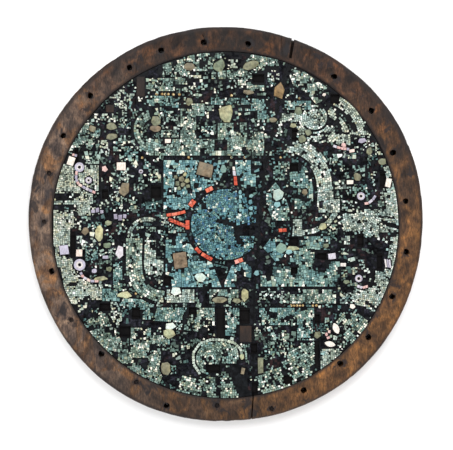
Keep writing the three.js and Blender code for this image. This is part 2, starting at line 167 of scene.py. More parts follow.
def blend(tree, factor, first, second, kind="MIX"):
    """Mixes two colours. Each input may be a plain value or another node's output."""
    node = add_node(tree, "ShaderNodeMix", data_type="RGBA", blend_type=kind)
    for socket, value in ((node.inputs[0], factor), (node.inputs[6], first), (node.inputs[7], second)):
        if isinstance(value, (float, tuple)):
            socket.default_value = value
        else:
            tree.links.new(value, socket)
    return node.outputs[2]


def multiply(tree, tone, shade):
    """A colour made darker or lighter by a shade."""
    return blend(tree, 1.0, tone, shade, "MULTIPLY")


def combine(tree, operation, first, second):
    """One number from two, such as their sum by ADD."""
    return add_node(tree, "ShaderNodeMath", {0: first, 1: second}, operation=operation).outputs[0]


def carried(tree, name):
    """A number that the mesh itself carries at each vertex."""
    return add_node(tree, "ShaderNodeAttribute", attribute_name=name).outputs["Fac"]


def relief(tree, shader, height, strength, distance):
    """Bumps the surface by a height that other nodes work out, with its distance in millimetres."""
    depth = {"Strength": strength, "Distance": distance * mm}
    bump = add_node(tree, "ShaderNodeBump", {"Height": height}, depth)
    tree.links.new(bump.outputs["Normal"], shader.inputs["Normal"])


print("ready to mix finishes")

# %% [markdown]
# Colours are easiest to judge as the 0 to 255 values that a screen shows, so a ramp takes those and
# turns them into the shader's own. Shades are another kind of ramp: plain multipliers, which darken
# a colour below one and lighten it above.

# %% Ramps of colours and of shades
LIGHT_LEVEL = 1.3


def paint(red, green, blue):
    """A colour as it looks under the studio's bright light, turned into the shader's linear values."""
    shares = [value / 255 for value in (red, green, blue)]
    linear = [s / 12.92 if s < 0.04045 else ((s + 0.055) / 1.055) ** 2.4 for s in shares]
    return (*(value / LIGHT_LEVEL for value in linear), 1.0)


def ramp_through(tree, factor, stops):
    """A ramp through (position, colour) stops."""
    node = add_node(tree, "ShaderNodeValToRGB", {"Fac": factor})
    while len(node.color_ramp.elements) < len(stops):
        node.color_ramp.elements.new(0.5)
    for element, (position, colour) in zip(node.color_ramp.elements, stops):
        element.position = position
        element.color = colour
    return node.outputs["Color"]


def ramp(tree, factor, *stops):
    """A ramp of colours, each as its position, red, green and blue."""
    return ramp_through(tree, factor, [(position, paint(*colour)) for position, *colour in stops])


def shades(tree, factor, *stops):
    """A ramp of multipliers, each as its position and its share of red, green and blue."""
    return ramp_through(tree, factor, [(position, (*share, 1)) for position, *share in stops])


print("mid grey in the shader is", round(paint(128, 128, 128)[0], 3))

# %% [markdown]
# The wood is one old softwood plank whose grain runs up and down the shield. Its brown is uneven: sooty at
# the top, greyer at the left and more orange at the lower right, with dark stains round the holes and painted
# shadow along the inner edge. The broad colours come first. Large noise picks them, and how far up, left or
# to the lower right a place lies tilts the choice.

# %% Broad colours of the wood
wood, tree, shader, place = new_finish("old_brown_wood", 0.62, 0.2)
clouds = speckle(tree, place, 26, 5, 0.62, (1, 1.4, 1), 0.6)
patches = speckle(tree, place, 9, 5, 0.62, (1, 1.5, 1), 0.6)
warmth = speckle(tree, place, 13, 4, 0.6, (1, 1.5, 1), 0.8)
split_place = add_node(tree, "ShaderNodeSeparateXYZ", {"Vector": place}).outputs


def along_way(tree, place, x, y):
    """How far a place lies along a level direction, in metres."""
    node = add_node(tree, "ShaderNodeVectorMath", {0: place}, {1: (x, y, 0)}, operation="DOT_PRODUCT")
    return node.outputs["Value"]


brown = ramp(tree, clouds, (0.3, 38, 30, 27), (0.43, 62, 48, 39), (0.55, 85, 65, 51), (0.7, 116, 92, 72))
orange = ramp(tree, patches, (0.3, 64, 45, 32), (0.52, 108, 76, 46), (0.72, 146, 100, 54))
grey = ramp(tree, patches, (0.3, 52, 48, 51), (0.5, 99, 84, 75), (0.7, 140, 119, 102))
to_lower_right = between(tree, along_way(tree, place, 0.77, -0.64), 0.065, 0.14, 0.0, 0.95)
to_left = between(tree, split_place["X"], -0.02, -0.14, 0.0, 0.85)
tone = blend(tree, to_lower_right, brown, orange)
tone = blend(tree, to_left, tone, grey)
tone = blend(tree, between(tree, warmth, 0.47, 0.6, 0.0, 0.7), tone, orange)
print("broad colours from", len(tree.nodes), "nodes")

# %% [markdown]
# Over the colours lie shades. Smudges are everywhere, and soot thickens towards the top. The lower edge, the
# very top and the right side are made a little darker and greyer still. Last come the streaks of the grain,
# from noise drawn out along it.

# %% Smudges, soot and grain of the wood
NO_CHANGE = (1, 1, 1, 1)
# Each side's level direction, where its shade begins and is full along it, and the shade.
DULL_SIDES = [
    ((-0.08, -1), 0.115, 0.147, (0.6, 0.62, 0.66, 1)),
    ((0, 1), 0.128, 0.148, (0.56, 0.6, 0.66, 1)),
    ((0.95, 0.3), 0.12, 0.15, (0.78, 0.8, 0.84, 1)),
]
smudges = speckle(tree, place, 17, 3, 0.55, (1, 1.3, 1), 1.0)
soot = speckle(tree, place, 11, 4, 0.6, (1, 1.3, 1), 0.8)
grain = speckle(tree, place, 1.5, 5, 0.72, (1, 2.8, 1), 0.6)
fibres = speckle(tree, place, 0.5, 3, 0.6, (1, 9, 1))
smudge_shade = shades(tree, smudges, (0.38, 0.56, 0.56, 0.6), (0.5, 1, 0.99, 0.99), (0.62, 1.4, 1.33, 1.24))
soot_shade = shades(tree, soot, (0.42, 0.24, 0.22, 0.24), (0.5, 0.48, 0.41, 0.39), (0.6, 0.95, 0.74, 0.6))
grain_shade = shades(tree, grain, (0.35, 0.44, 0.43, 0.45), (0.5, 0.97, 0.97, 0.97), (0.65, 1.4, 1.36, 1.3))
fibre_shade = shades(tree, fibres, (0.37, 0.68, 0.67, 0.66), (0.62, 1.2, 1.18, 1.15))
tone = multiply(tree, tone, smudge_shade)
for way, start, end, shade in [((0.12, 0.99), 0.02, 0.15, soot_shade), *DULL_SIDES]:
    share = between(tree, along_way(tree, place, *way), start, end)
    tone = multiply(tree, tone, blend(tree, share, NO_CHANGE, shade))
tone = multiply(tree, tone, grain_shade)
tone = multiply(tree, tone, fibre_shade)
print("shaded by", len(tree.nodes), "nodes")

# %% [markdown]
# The darkest marks are the stains round the tie holes and the painted shade down their throats, for which the
# mesh carries a number of its own, then painted shadow along the inner edge, where the border meets the
# mosaic, and painted shade on the rounded outer edge, where the border's face meets its wall. The two edges
# are found from how far a place lies from the middle of the board.

# %% Stains of the wood, and painted shade in its holes and at its edges
# The mesh's number, broken up by noise, is both the real stains and the painted shade down the tie holes'
# throats.
stain_and_shade_noise = speckle(tree, place, 6, 4, 0.62, (1, 1.6, 1), 1.0)
stained_and_shaded = combine(tree, "ADD", carried(tree, "stain_and_shade"), stain_and_shade_noise)
tone = blend(tree, between(tree, stained_and_shaded, 0.6, 0.74, 0.0, 0.82), tone, paint(30, 28, 31))
board_middle = (field_centre.x, field_centre.y, rim_top)
from_middle = add_node(
    tree, "ShaderNodeVectorMath", {0: place}, {1: board_middle}, operation="DISTANCE"
).outputs["Value"]
# Painted shadow along the inner edge, where the border meets the mosaic, and painted shade on the rounded
# outer edge near the top.
inner_edge_shadow = between(tree, from_middle, FIELD_RADIUS + 2.6 * mm, FIELD_RADIUS + 0.4 * mm, 0.0, 0.85)
outer_edge_shade = between(tree, from_middle, BOARD_RADIUS - 4.2 * mm, BOARD_RADIUS - 1.6 * mm, 0.0, 1.0)
near_top = between(tree, split_place["Z"], rim_top - 2.4 * mm, rim_top - 0.8 * mm, 0.0, 0.75)
# Here the painted shadow and the painted shade darken the wood.
tone = blend(tree, inner_edge_shadow, tone, paint(34, 28, 27))
tone = blend(tree, combine(tree, "MULTIPLY", outer_edge_shade, near_top), tone, paint(38, 31, 30))
tree.links.new(tone, shader.inputs["Base Color"])
tree.links.new(between(tree, clouds, 0.3, 0.7, 0.5, 0.72), shader.inputs["Roughness"])
relief(tree, shader, combine(tree, "ADD", grain, fibres), 0.5, 0.25)
print(wood.name, len(tree.nodes), "nodes")

# %% [markdown]
# Under the mosaic the wood has soaked up resin and dirt and is nearly black, and so are the walls and floors
# of the sockets, where the near-black is painted shade as well. The resin itself is blue-black, a little
# glossy where it is clean. Where tiles have gone it is dull, with a grey bloom of dust and some brown
# patches.

# %% Finish of the soaked wood, with painted shade in the sockets, and the resin
soaked_wood_and_shade, tree, shader, place = new_finish("resin_soaked_wood_and_shade", 0.7, 0.08)
# The near-black is the soaked wood's colour and, on the sockets' walls and floors, painted shade as well.
tone = ramp(tree, speckle(tree, place, 4, 4, 0.6, (1, 4, 1)), (0.3, 8, 8, 9), (0.7, 22, 19, 19))
tree.links.new(tone, shader.inputs["Base Color"])
relief(tree, shader, speckle(tree, place, 0.8, 3, 0.6, (1, 12, 1)), 0.4, 0.2)

resin, tree, shader, place = new_finish("black_resin", 0.42, 0.1)
bloom = speckle(tree, place, 5, 5, 0.65, warp=0.5)
grit = speckle(tree, place, 0.5, 3, 0.6)
tone = ramp(tree, bloom, (0.3, 5, 6, 8), (0.5, 12, 14, 17), (0.62, 22, 26, 30), (0.75, 44, 42, 44))
tone = blend(tree, between(tree, grit, 0.62, 0.78, 0.0, 0.35), tone, paint(92, 98, 102))
tree.links.new(tone, shader.inputs["Base Color"])
tree.links.new(between(tree, bloom, 0.35, 0.65, 0.32, 0.6), shader.inputs["Roughness"])
relief(tree, shader, grit, 0.35, 0.15)

dusty_resin, tree, shader, place = new_finish("dusty_resin", 0.7, 0.05)
bloom = speckle(tree, place, 7, 5, 0.65, warp=0.5)
browning = speckle(tree, place, 16, 4, 0.6, warp=0.6)
grit = speckle(tree, place, 0.6, 3, 0.6)
tone = ramp(tree, bloom, (0.38, 1, 1, 2), (0.51, 15, 16, 22), (0.64, 52, 52, 62))
tone = blend(tree, between(tree, browning, 0.55, 0.65, 0.0, 0.7), tone, paint(58, 41, 41))
tone = blend(tree, between(tree, grit, 0.6, 0.76, 0.0, 0.4), tone, paint(84, 92, 98))
tree.links.new(tone, shader.inputs["Base Color"])
relief(tree, shader, grit, 0.35, 0.15)
print(soaked_wood_and_shade.name, resin.name, dusty_resin.name)

# %% [markdown]
# Turquoise is cut from many small nodules, so no two tiles match: most are blue-green, some are
# nearly white, some olive or tan. Each tile carries one number, its tone, which picks a colour from
# its field's ramp. The lower part of each tile's sides is stained by the resin that holds it, which
# also keeps the joints dark.

# %% How turquoise is coloured


def stain_low_down(tree, place, tone, depth, most, colour):
    """Stains the sides of a stone down to a depth in millimetres under its top."""
    height = add_node(tree, "ShaderNodeSeparateXYZ", {"Vector": place}).outputs["Z"]
    share = between(tree, height, tile_top - 0.2 * mm, tile_top - depth * mm, 0.0, most)
    return blend(tree, share, tone, colour)


def turquoise(name, *stops, grain=0.9, contrast=1.0):
    """Stone in a field's own range of colours, picked tile by tile."""
    material, tree, shader, place = new_finish(name, 0.45)
    mottle = speckle(tree, place, grain, 4, 0.6)
    drift = speckle(tree, place, 10, 3, 0.6, warp=0.4)
    veins = speckle(tree, place, 1.6, 5, 0.75, warp=1.2)
    deep = [0.95 - 0.33 * contrast] * 3
    high = [0.95 + 0.35 * contrast] * 3
    shade = shades(tree, mottle, (0.28, *deep), (0.5, 0.95, 0.95, 0.95), (0.72, *high))
    tint = shades(tree, drift, (0.36, 0.88, 0.98, 1.01), (0.5, 1, 1, 1), (0.64, 1.05, 1.01, 0.9))
    stone = ramp(tree, carried(tree, "tone"), *stops)
    stone = multiply(tree, multiply(tree, stone, shade), tint)
    stone = blend(tree, between(tree, veins, 0.66, 0.72, 0.0, 0.75), stone, paint(52, 46, 38))
    stone = stain_low_down(tree, place, stone, 0.7, 1.0, paint(15, 15, 19))
    tree.links.new(stone, shader.inputs["Base Color"])
    tree.links.new(between(tree, mottle, 0.35, 0.65, 0.32, 0.58), shader.inputs["Roughness"])
    relief(tree, shader, mottle, 0.25, 0.1)
    return material


print("ready to colour turquoise")

# %% [markdown]
# Six ranges cover the whole face. Each begins with its darkest tone, runs up to its usual one and
# ends with the odd ones: bluer or olive stone, and at last the nearly white.

# %% The six ranges of turquoise
# Each stop is a tone from 0 to 1 and its red, green and blue.
STONE_RANGES = {
    "sun_turquoise": [
        (0.0, 20, 46, 54), (0.14, 50, 92, 102), (0.36, 82, 132, 142), (0.56, 122, 168, 172),
        (0.68, 100, 142, 136), (0.78, 72, 116, 136), (0.86, 66, 110, 148), (0.92, 118, 150, 130),
        (1.0, 218, 230, 222),
    ],
    "blue_turquoise": [
        (0.0, 36, 66, 72), (0.16, 74, 116, 122), (0.42, 104, 148, 152), (0.66, 152, 190, 189),
        (0.78, 92, 136, 148), (0.86, 126, 154, 140), (0.93, 206, 220, 210), (1.0, 246, 246, 236),
    ],
    "grey_green_turquoise": [
        (0.0, 50, 66, 60), (0.18, 90, 112, 103), (0.44, 134, 157, 146), (0.62, 168, 188, 176),
        (0.72, 112, 150, 146), (0.8, 142, 148, 122), (0.87, 222, 224, 204), (1.0, 255, 253, 242),
    ],
    "pale_turquoise": [
        (0.0, 70, 82, 76), (0.16, 124, 140, 132), (0.42, 168, 184, 174), (0.64, 196, 210, 200),
        (0.72, 150, 182, 178), (0.79, 172, 172, 148), (0.86, 232, 236, 222), (1.0, 255, 255, 248),
    ],
    "whitish_turquoise": [
        (0.0, 84, 94, 86), (0.2, 140, 154, 142), (0.45, 186, 198, 184), (0.7, 212, 220, 204),
        (0.8, 176, 176, 144), (1.0, 252, 250, 240),
    ],
    "teal_turquoise": [
        (0.0, 42, 66, 66), (0.16, 78, 112, 110), (0.42, 116, 150, 145), (0.64, 150, 181, 174),
        (0.75, 100, 142, 144), (0.83, 134, 150, 128), (0.89, 214, 222, 210), (1.0, 246, 246, 236),
    ],
}
STONES = [turquoise(name, *stops) for name, stops in STONE_RANGES.items()]
SUN, BLUE, GREEN, PALE, WHITE, TEAL = range(len(STONES))
print(len(STONES), "ranges of turquoise")

# %% [markdown]
# Shell is denser and smoother than stone. The red pieces are orange-red with paler growth bands,
# and the pale ones run from white to pink and lavender by the same kind of tone number. The tan and
# olive stones are made as turquoise is, only with a coarser and stronger mottle.

# %% Finish of the shell, the coloured stones and the gold beads


def shell_finish(name, *stops):
    """Polished shell: faint growth bands over a colour that the piece's tone picks."""
    material, tree, shader, place = new_finish(name, 0.34)
    bands = speckle(tree, place, 0.8, 3, 0.5, (1, 3.5, 1), 0.6)
    dirt = speckle(tree, place, 1.1, 4, 0.7)
    shade = shades(tree, bands, (0.3, 0.74, 0.68, 0.66), (0.6, 1.05, 1.05, 1.05), (0.75, 1.2, 1.2, 1.2))
    colour = multiply(tree, ramp(tree, carried(tree, "tone"), *stops), shade)
    colour = blend(tree, between(tree, dirt, 0.64, 0.76, 0.0, 0.55), colour, paint(72, 48, 40))
    colour = stain_low_down(tree, place, colour, 0.8, 0.9, paint(30, 24, 24))
    tree.links.new(colour, shader.inputs["Base Color"])
    relief(tree, shader, bands, 0.25, 0.1)
    return material


red_shell = shell_finish(
    "red_shell", (0.0, 150, 50, 34), (0.35, 206, 84, 58), (0.7, 226, 118, 88), (1.0, 232, 160, 146)
)
pale_shell = shell_finish(
    "pale_shell",
    (0.0, 214, 172, 168), (0.25, 234, 216, 204), (0.5, 240, 234, 222), (0.75, 194, 191, 208),
    (1.0, 146, 141, 160),
)
coloured_stone = turquoise(
    "tan_and_olive_stone",
    (0.0, 122, 102, 82), (0.2, 128, 122, 98), (0.4, 112, 122, 98), (0.6, 158, 156, 122),
    (0.8, 188, 186, 146), (1.0, 126, 94, 56),
    grain=2.8,
    contrast=1.7,
)
gold, tree, shader, place = new_finish("gold_bead", 0.35)
# The gold's own browns and yellows, and at the palest stop cream-white spots of painted highlight.
tone = ramp(tree, speckle(tree, place, 1.2), (0.35, 110, 84, 48), (0.52, 186, 152, 94), (0.64, 240, 226, 184))
tree.links.new(tone, shader.inputs["Base Color"])
print(red_shell.name, pale_shell.name, coloured_stone.name, gold.name)

# %% [markdown]
# The board is one plank sawn round by hand, and the solid of the frame already has its outline, its
# tie holes and its sockets. The dressed board has to keep them, so they are measured on the solid:
# the outline with rays, the holes by their edges on the back, and the sockets by their floors.

# %% Find the holes and the sockets on the solid
OUTSIDE = 200 * mm
BELOW_SPLITS = 4 * mm
BACK_RADIUS = 153.5 * mm
board_solid = merged_copy("wooden_disc")
board_rays = BVHTree.FromBMesh(board_solid)


def outline_radius(angle):
    """How far the board's wall is from the origin, below the splits."""
    out = Vector((math.cos(angle), math.sin(angle), 0))
    hit = board_rays.ray_cast(out * OUTSIDE + Vector((0, 0, BELOW_SPLITS)), -out)
    return math.hypot(hit[0].x, hit[0].y)


def gather(points, reach):
    """Groups points that lie within reach of each other."""
    groups = []
    for point in points:
        near = next((g for g in groups if (g[0] - point).length < reach), None)
        if near:
            near.append(point)
        else:
            groups.append([point])
    return groups


def flat_islands(bm, level):
    """The outlines' boxes of the level faces at one height, as (low corner, high corner)."""
    facing_up = [f for f in bm.faces if f.normal.z > 0.9]
    left = {f for f in facing_up if abs(f.calc_center_median().z - level) < 0.02 * mm}
    boxes = []
    while left:
        reached, island = [left.pop()], []
        while reached:
            face = reached.pop()
            island.append(face)
            near = {f for e in face.edges for f in e.link_faces} & left
            left -= near
            reached.extend(near)
        corners = [v.co for f in island for v in f.verts]
        low = Vector((min(c.x for c in corners), min(c.y for c in corners), level))
        high = Vector((max(c.x for c in corners), max(c.y for c in corners), level))
        boxes.append((low, high))
    return sorted(boxes, key=lambda b: (b[0].x, b[0].y))


on_the_back = [v.co.copy() for v in board_solid.verts if v.co.z < 0.01 * mm]
hole_edge = [corner for corner in on_the_back if corner.xy.length < BACK_RADIUS]
tie_holes = [sum(g, Vector()) / len(g) for g in gather(hole_edge, 6 * mm)]
socket_floor = floor_top - 2 * mm
sockets = flat_islands(board_solid, socket_floor)
board_solid.free()
print(len(tie_holes), "tie holes and", len(sockets), "sockets")

# %% [markdown]
# A lathe-like spin of the board's half section gives the blank, which is the quickest way to a round
# board with rounded edges. Its wall is then drawn in or out to follow the measured outline.

# %% Spin the blank
TURN_STEPS = 360
# Each point of the half section is a radius and a height in millimetres.
SECTION = [
    (0, 0), (50, 0), (100, 0), (135, 0), (150, 0), (154.6, 0.3), (156.6, 1.2), (157.6, 2.8),
    (158, 6), (158, 12), (157.7, 15.4), (157.2, 16.8), (156.4, 17.6), (155.2, 17.95),
    (153, 18), (151, 18), (149, 18), (147, 18), (145, 18), (143, 18), (141, 18), (139.6, 18),
    (138.6, 17.9), (138, 17.5), (137.9, 16.8), (137.9, 16), (130, 16), (110, 16), (70, 16), (0, 16),
]
blank = bmesh.new()
section = [blank.verts.new((r * mm, 0, z * mm)) for r, z in SECTION]
section_edges = [blank.edges.new(pair) for pair in zip(section, section[1:])]
bmesh.ops.spin(
    blank,
    geom=section + section_edges,
    axis=(0, 0, 1),
    cent=(0, 0, 0),
    angle=2 * math.pi,
    steps=TURN_STEPS,
    use_merge=True,
)
bmesh.ops.remove_doubles(blank, verts=blank.verts, dist=0.01 * mm)
for v in blank.verts:
    r = v.co.xy.length
    outer = min(max((r - FIELD_RADIUS) / (BOARD_RADIUS - FIELD_RADIUS), 0), 1)
    stretch = 1 + outer * (outline_radius(math.atan2(v.co.y, v.co.x)) / BOARD_RADIUS - 1)
    v.co.x = v.co.x * stretch + (1 - outer) * field_centre.x
    v.co.y = v.co.y * stretch + (1 - outer) * field_centre.y
bmesh.ops.recalc_face_normals(blank, faces=blank.faces[:])
print("blank", len(blank.faces), "faces")

# %% [markdown]
# Everything that goes into the board is cut by one boolean: the tie holes, the sockets, the open
# split at the top, the fine split at the bottom and a few drying cracks. The cutters are wedges and
# rough cones. Old dirt chokes some of the holes at the lower left a little way down, so those are
# cut from both sides and a plug of wood is left between.

# %% Cutters for the holes, splits and sockets
FOOT = 0.55
HOLE_UNEVEN = 0.45
chance = random.Random(11)
cutters = bmesh.new()


def wedge(start, end, width, low, high, taper=1.0):
    """A cutter along a line, narrower at its foot, with its far end made wider or finer by taper."""
    cube = bmesh.ops.create_cube(cutters, size=1)["verts"]
    along = end - start
    for v in cube:
        if v.co.x > 0:
            v.co.y *= taper
        if v.co.z < 0:
            v.co.y *= FOOT
    place_it = (
        Matrix.Translation((start + end) / 2 + Vector((0, 0, (low + high) / 2)))
        @ Matrix.Rotation(math.atan2(along.y, along.x), 4, "Z")
        @ Matrix.Diagonal((along.length, width, high - low, 1))
    )
    bmesh.ops.transform(cutters, matrix=place_it, verts=cube)


def bore(centre, low, high, narrow, wide):
    """A roughly round cutter for a tie hole, from low to high and wider at its upper end."""
    place = Matrix.Translation((centre.x, centre.y, (low + high) / 2))
    turn = Matrix.Rotation(chance.uniform(0, 6), 4, "Z")
    hole = bmesh.ops.create_cone(
        cutters,
        cap_ends=True,
        segments=12,
        radius1=narrow * mm,
        radius2=wide * mm,
        depth=high - low,
        matrix=place @ turn,
    )["verts"]
    for v in hole:
        sideways = chance.uniform(-HOLE_UNEVEN, HOLE_UNEVEN)
        v.co += Vector((sideways, chance.uniform(-HOLE_UNEVEN, HOLE_UNEVEN), 0)) * mm


print("ready to cut")

# %% Place the cutters
BELOW_BACK, ABOVE_HOLES, ABOVE_FACE = -2 * mm, rim_top + 2 * mm, 20 * mm
PLUG_TOP, PLUG_FOOT = rim_top - 2.6 * mm, rim_top - 4.5 * mm
for centre in tie_holes:
    if centre.x + centre.y < -60 * mm and chance.random() < 0.6:
        bore(centre, PLUG_TOP, ABOVE_HOLES, 1.5, 2.4)
        bore(centre, BELOW_BACK, PLUG_FOOT, 1.6, 1.8)
    else:
        bore(centre, BELOW_BACK, ABOVE_HOLES, 1.7, 2.5)
for low, high in sockets:
    across = (low.y + high.y) / 2
    start, end = Vector((low.x, across, 0)), Vector((high.x, across, 0))
    wedge(start, end, high.y - low.y, socket_floor + 0.1 * mm, rim_top)
# The two splits and the drying cracks, each as its two ends and its width.
wedge(at(50.6, 132), at(55.4, 161), 2.3 * mm, 5 * mm, ABOVE_FACE, 1.3)
wedge(at(21.4, -134), at(19.4, -161), 1.1 * mm, 10 * mm, ABOVE_FACE, 1.3)
CRACKS = [
    (-19, 151, -13.6, 137.6, 1.0), (43.6, 152, 44.4, 127, 0.6), (-72, 120, -70, 134, 0.5),
    (-146, 22, -145.6, 44, 0.5), (66, 132, 66.6, 140, 0.6), (60.6, -128, 61.4, -142, 0.6),
    (-119, -84, -118.4, -98, 0.5), (128, -48, 128.6, -68, 0.5), (104, 108, 103.6, 96, 0.6),
    (-88, -112, -87.6, -124, 0.45), (142, 34, 141.6, 52, 0.45), (-30, -146, -29.8, -154, 0.5),
]
for x0, y0, x1, y1, width in CRACKS:
    wedge(at(x0, y0), at(x1, y1), width * mm, rim_top - 1.6 * mm, ABOVE_FACE, 0.25)
print(len(CRACKS), "drying cracks")

# %% [markdown]
# A boolean modifier needs two objects, so the blank and the cutters become helpers for a moment. The
# result is taken as a mesh of its own and both helpers go, so that no modifier is left live.

# %% Cut the board


def plain_object(name, bm):
    """A helper object that isn't part of the shield and is removed again."""
    bmesh.ops.recalc_face_normals(bm, faces=bm.faces[:])
    mesh = bpy.data.meshes.new(name)
    bm.to_mesh(mesh)
    bm.free()
    helper = bpy.data.objects.new(name, mesh)
    bpy.context.scene.collection.objects.link(helper)
    return helper


blank_helper = plain_object("blank", blank)
cutter_helper = plain_object("cutters", cutters)
cut = blank_helper.modifiers.new("cut", "BOOLEAN")
cut.operation, cut.solver, cut.object = "DIFFERENCE", "EXACT", cutter_helper
cut.use_self = True
with_cuts = blank_helper.evaluated_get(bpy.context.evaluated_depsgraph_get())
shaped = bpy.data.meshes.new_from_object(with_cuts)
bpy.data.objects.remove(blank_helper)
bpy.data.objects.remove(cutter_helper)
print("cut board", len(shaped.polygons), "faces")

# %% [markdown]
# Centuries of wear leave no surface flat. The border and its wall are given shallow hollows, fine
# ridges along the grain and small nicks, worked out from noise at each vertex, and always inwards
# so that the board keeps its size.

# %% Wear the board
FACE_LEVEL = 17.3 * mm


def wear_at(place):
    """How far the years have taken the surface down at a place, in millimetres."""
    hollow = noise.noise(place * 55) * 0.28
    ridge = noise.noise(Vector((place.x * 420, place.y * 30, place.z * 60))) * 0.14
    nick = max(0.0, noise.noise(place * 170) - 0.32) * 1.6
    return max(0.0, hollow + ridge + 0.2 + nick)


board = bmesh.new()
board.from_mesh(shaped)
bmesh.ops.remove_doubles(board, verts=board.verts, dist=0.003 * mm)
bmesh.ops.triangulate(board, faces=[f for f in board.faces if len(f.verts) > 4])
for v in board.verts:
    radius = v.co.xy.length
    if v.co.z > FACE_LEVEL:
        v.co.z -= wear_at(v.co) * mm * 0.6
    elif radius > 154 * mm and v.co.z > 0.5 * mm:
        inwards = wear_at(v.co) * mm * 0.8
        v.co.x *= 1 - inwards / radius
        v.co.y *= 1 - inwards / radius
print("worn", len(board.verts), "corners")

# %% [markdown]
# The finish of the wood darkens wherever the mesh carries a number for stain and painted shade. Every tie
# hole has a soft dark stain round it and painted shade down its throat, and more stains lie here and there on
# the border. Faces below the mosaic are handed to the soaked wood, whose near-black is painted shade as well
# in the sockets.

# %% Stain the board, paint shade down its holes and keep it
# The painted shade down a tie hole's throat: how far it reaches from the hole's middle, how far under the top
# it begins, and how dark it is.
THROAT_REACH, THROAT_DEPTH, THROAT_SHADE = 3 * mm, 1 * mm, 0.6
# Dark stains on the border, each as its middle, its reach in millimetres and its strength.
BORDER_STAINS = [
    (-153.5, 16, 9, 0.2), (-152.5, 30, 8, 0.18), (-149, 44, 6, 0.12), (-143, -38, 6, 0.12),
    (-128, -66, 7, 0.14),
    (-118, -80, 8, 0.16), (-92, -112, 6, 0.12), (-60, -131, 8, 0.14), (47, 139, 6, 0.2), (82, 127.5, 5, 0.22),
    (88, 116, 6, 0.18), (108, 97, 6, 0.14), (127, 78, 7, 0.18), (148, 42, 6, 0.14), (140, -16, 5, 0.16),
    (134, -48, 6, 0.14), (119, -70, 7, 0.12), (-8, 149, 6, 0.12), (-75, 124, 6, 0.1), (-112, 92, 5, 0.12),
    (113, -62, 5, 0.1), (0, -148, 7, 0.1), (36, -146, 6, 0.12), (84, -118, 5, 0.1),
    (75, 126.4, 4, 0.24), (71, 134, 5, 0.2), (16, -143, 7, 0.22), (19.6, -150, 6, 0.24), (25, -139, 3, 0.24),
]
board_stain_and_shade = board.verts.layers.float.new("stain_and_shade")
for v in board.verts:
    if v.co.z > 9 * mm and v.co.xy.length > FIELD_RADIUS:
        nearest = min((v.co.xy - centre.xy).length for centre in tie_holes)
        v[board_stain_and_shade] = 0.2 * min(max((6 * mm - nearest) / (4 * mm), 0), 1)
        # Painted shade down the throat of the hole.
        if nearest < THROAT_REACH and v.co.z < rim_top - THROAT_DEPTH:
            v[board_stain_and_shade] = THROAT_SHADE
            continue
        for x, y, reach, strength in BORDER_STAINS:
            share = 1 - (v.co - at(x, y)).xy.length / (reach * mm)
            v[board_stain_and_shade] = max(v[board_stain_and_shade], strength * min(max(share * 1.8, 0), 1))
# Faces inside the mosaic's edge, the sockets among them, take the near-black soaked wood with its painted
# shade.
for face in board.faces:
    middle = face.calc_center_median()
    inside = (middle.xy - field_centre.xy).length < FIELD_RADIUS - 0.05 * mm
    face.material_index = 1 if inside and mm < middle.z < FACE_LEVEL else 0
make_piece("shield_board", board, [wood, soaked_wood_and_shade], ["wooden_disc"], 40)

# %% [markdown]
# In three places the resin has gone and brown wood shows at its level. Each is a little slab of the
# board that stands up into an opening of the resin bed. It is divided finely, so that noise drawn
# out along the grain can lift its top into ridges.

# %% Bare wood showing through the resin
SLAB_GAP = 0.3
# Each is its left, lower, right and upper edge.
BARE_WOOD = [(-71.5, 101.5, -65, 117.5), (-96, 89, -89.5, 95), (10.5, -93.5, 20, -80.5)]
bare = bmesh.new()
for x0, y0, x1, y1 in BARE_WOOD:
    slab = bmesh.ops.create_cube(bare, size=1)["verts"]
    middle = at((x0 + x1) / 2, (y0 + y1) / 2, (floor_top + resin_top) / 2)
    width, height = (x1 - x0 - SLAB_GAP) * mm, (y1 - y0 - SLAB_GAP) * mm
    size = Matrix.Diagonal((width, height, resin_top - floor_top, 1))
    bmesh.ops.transform(bare, matrix=Matrix.Translation(middle) @ size, verts=slab)
bmesh.ops.subdivide_edges(bare, edges=bare.edges[:], cuts=9, use_grid_fill=True)
for v in bare.verts:
    if v.co.z > resin_top - 0.1 * mm:
        v.co.z += 0.35 * mm * noise.noise(Vector((v.co.x * 500, v.co.y * 60, 0)))
make_piece("bare_wood_patches", bare, [wood], smooth=40)

# %% [markdown]
# The tiles are real pieces of stone, so they are real geometry. Each field of the frame is a flat
# sheet with the right outline. Its top face is cut in two across its longest way, each half again,
# and so on until a bit is about one tile across. Leaning the cuts a little and not quite halving
# gives the uneven, hand-snapped shapes that a grid could never give.

# %% Cut a flat area into tiles
# In sizes: how long a tile may be, how long a big one may be, and the length under which the next
# cut keeps near the middle.
LONGEST, LONGEST_BIG, LAST_CUT = 1.32, 2.3, 2.6


def faces_in(geometry):
    """The faces among what a bmesh operator gave back."""
    return [g for g in geometry if isinstance(g, bmesh.types.BMFace)]


def flat_top(node):
    """The upper side of a sheet of the frame, as a few flat polygons."""
    bm = merged_copy(node)
    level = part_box(node)[1].z
    below = [f for f in bm.faces if f.calc_center_median().z < level - 0.01 * mm]
    bmesh.ops.delete(bm, geom=below, context="FACES")
    bmesh.ops.dissolve_limit(bm, angle_limit=0.02, verts=bm.verts[:], edges=bm.edges[:])
    return bm


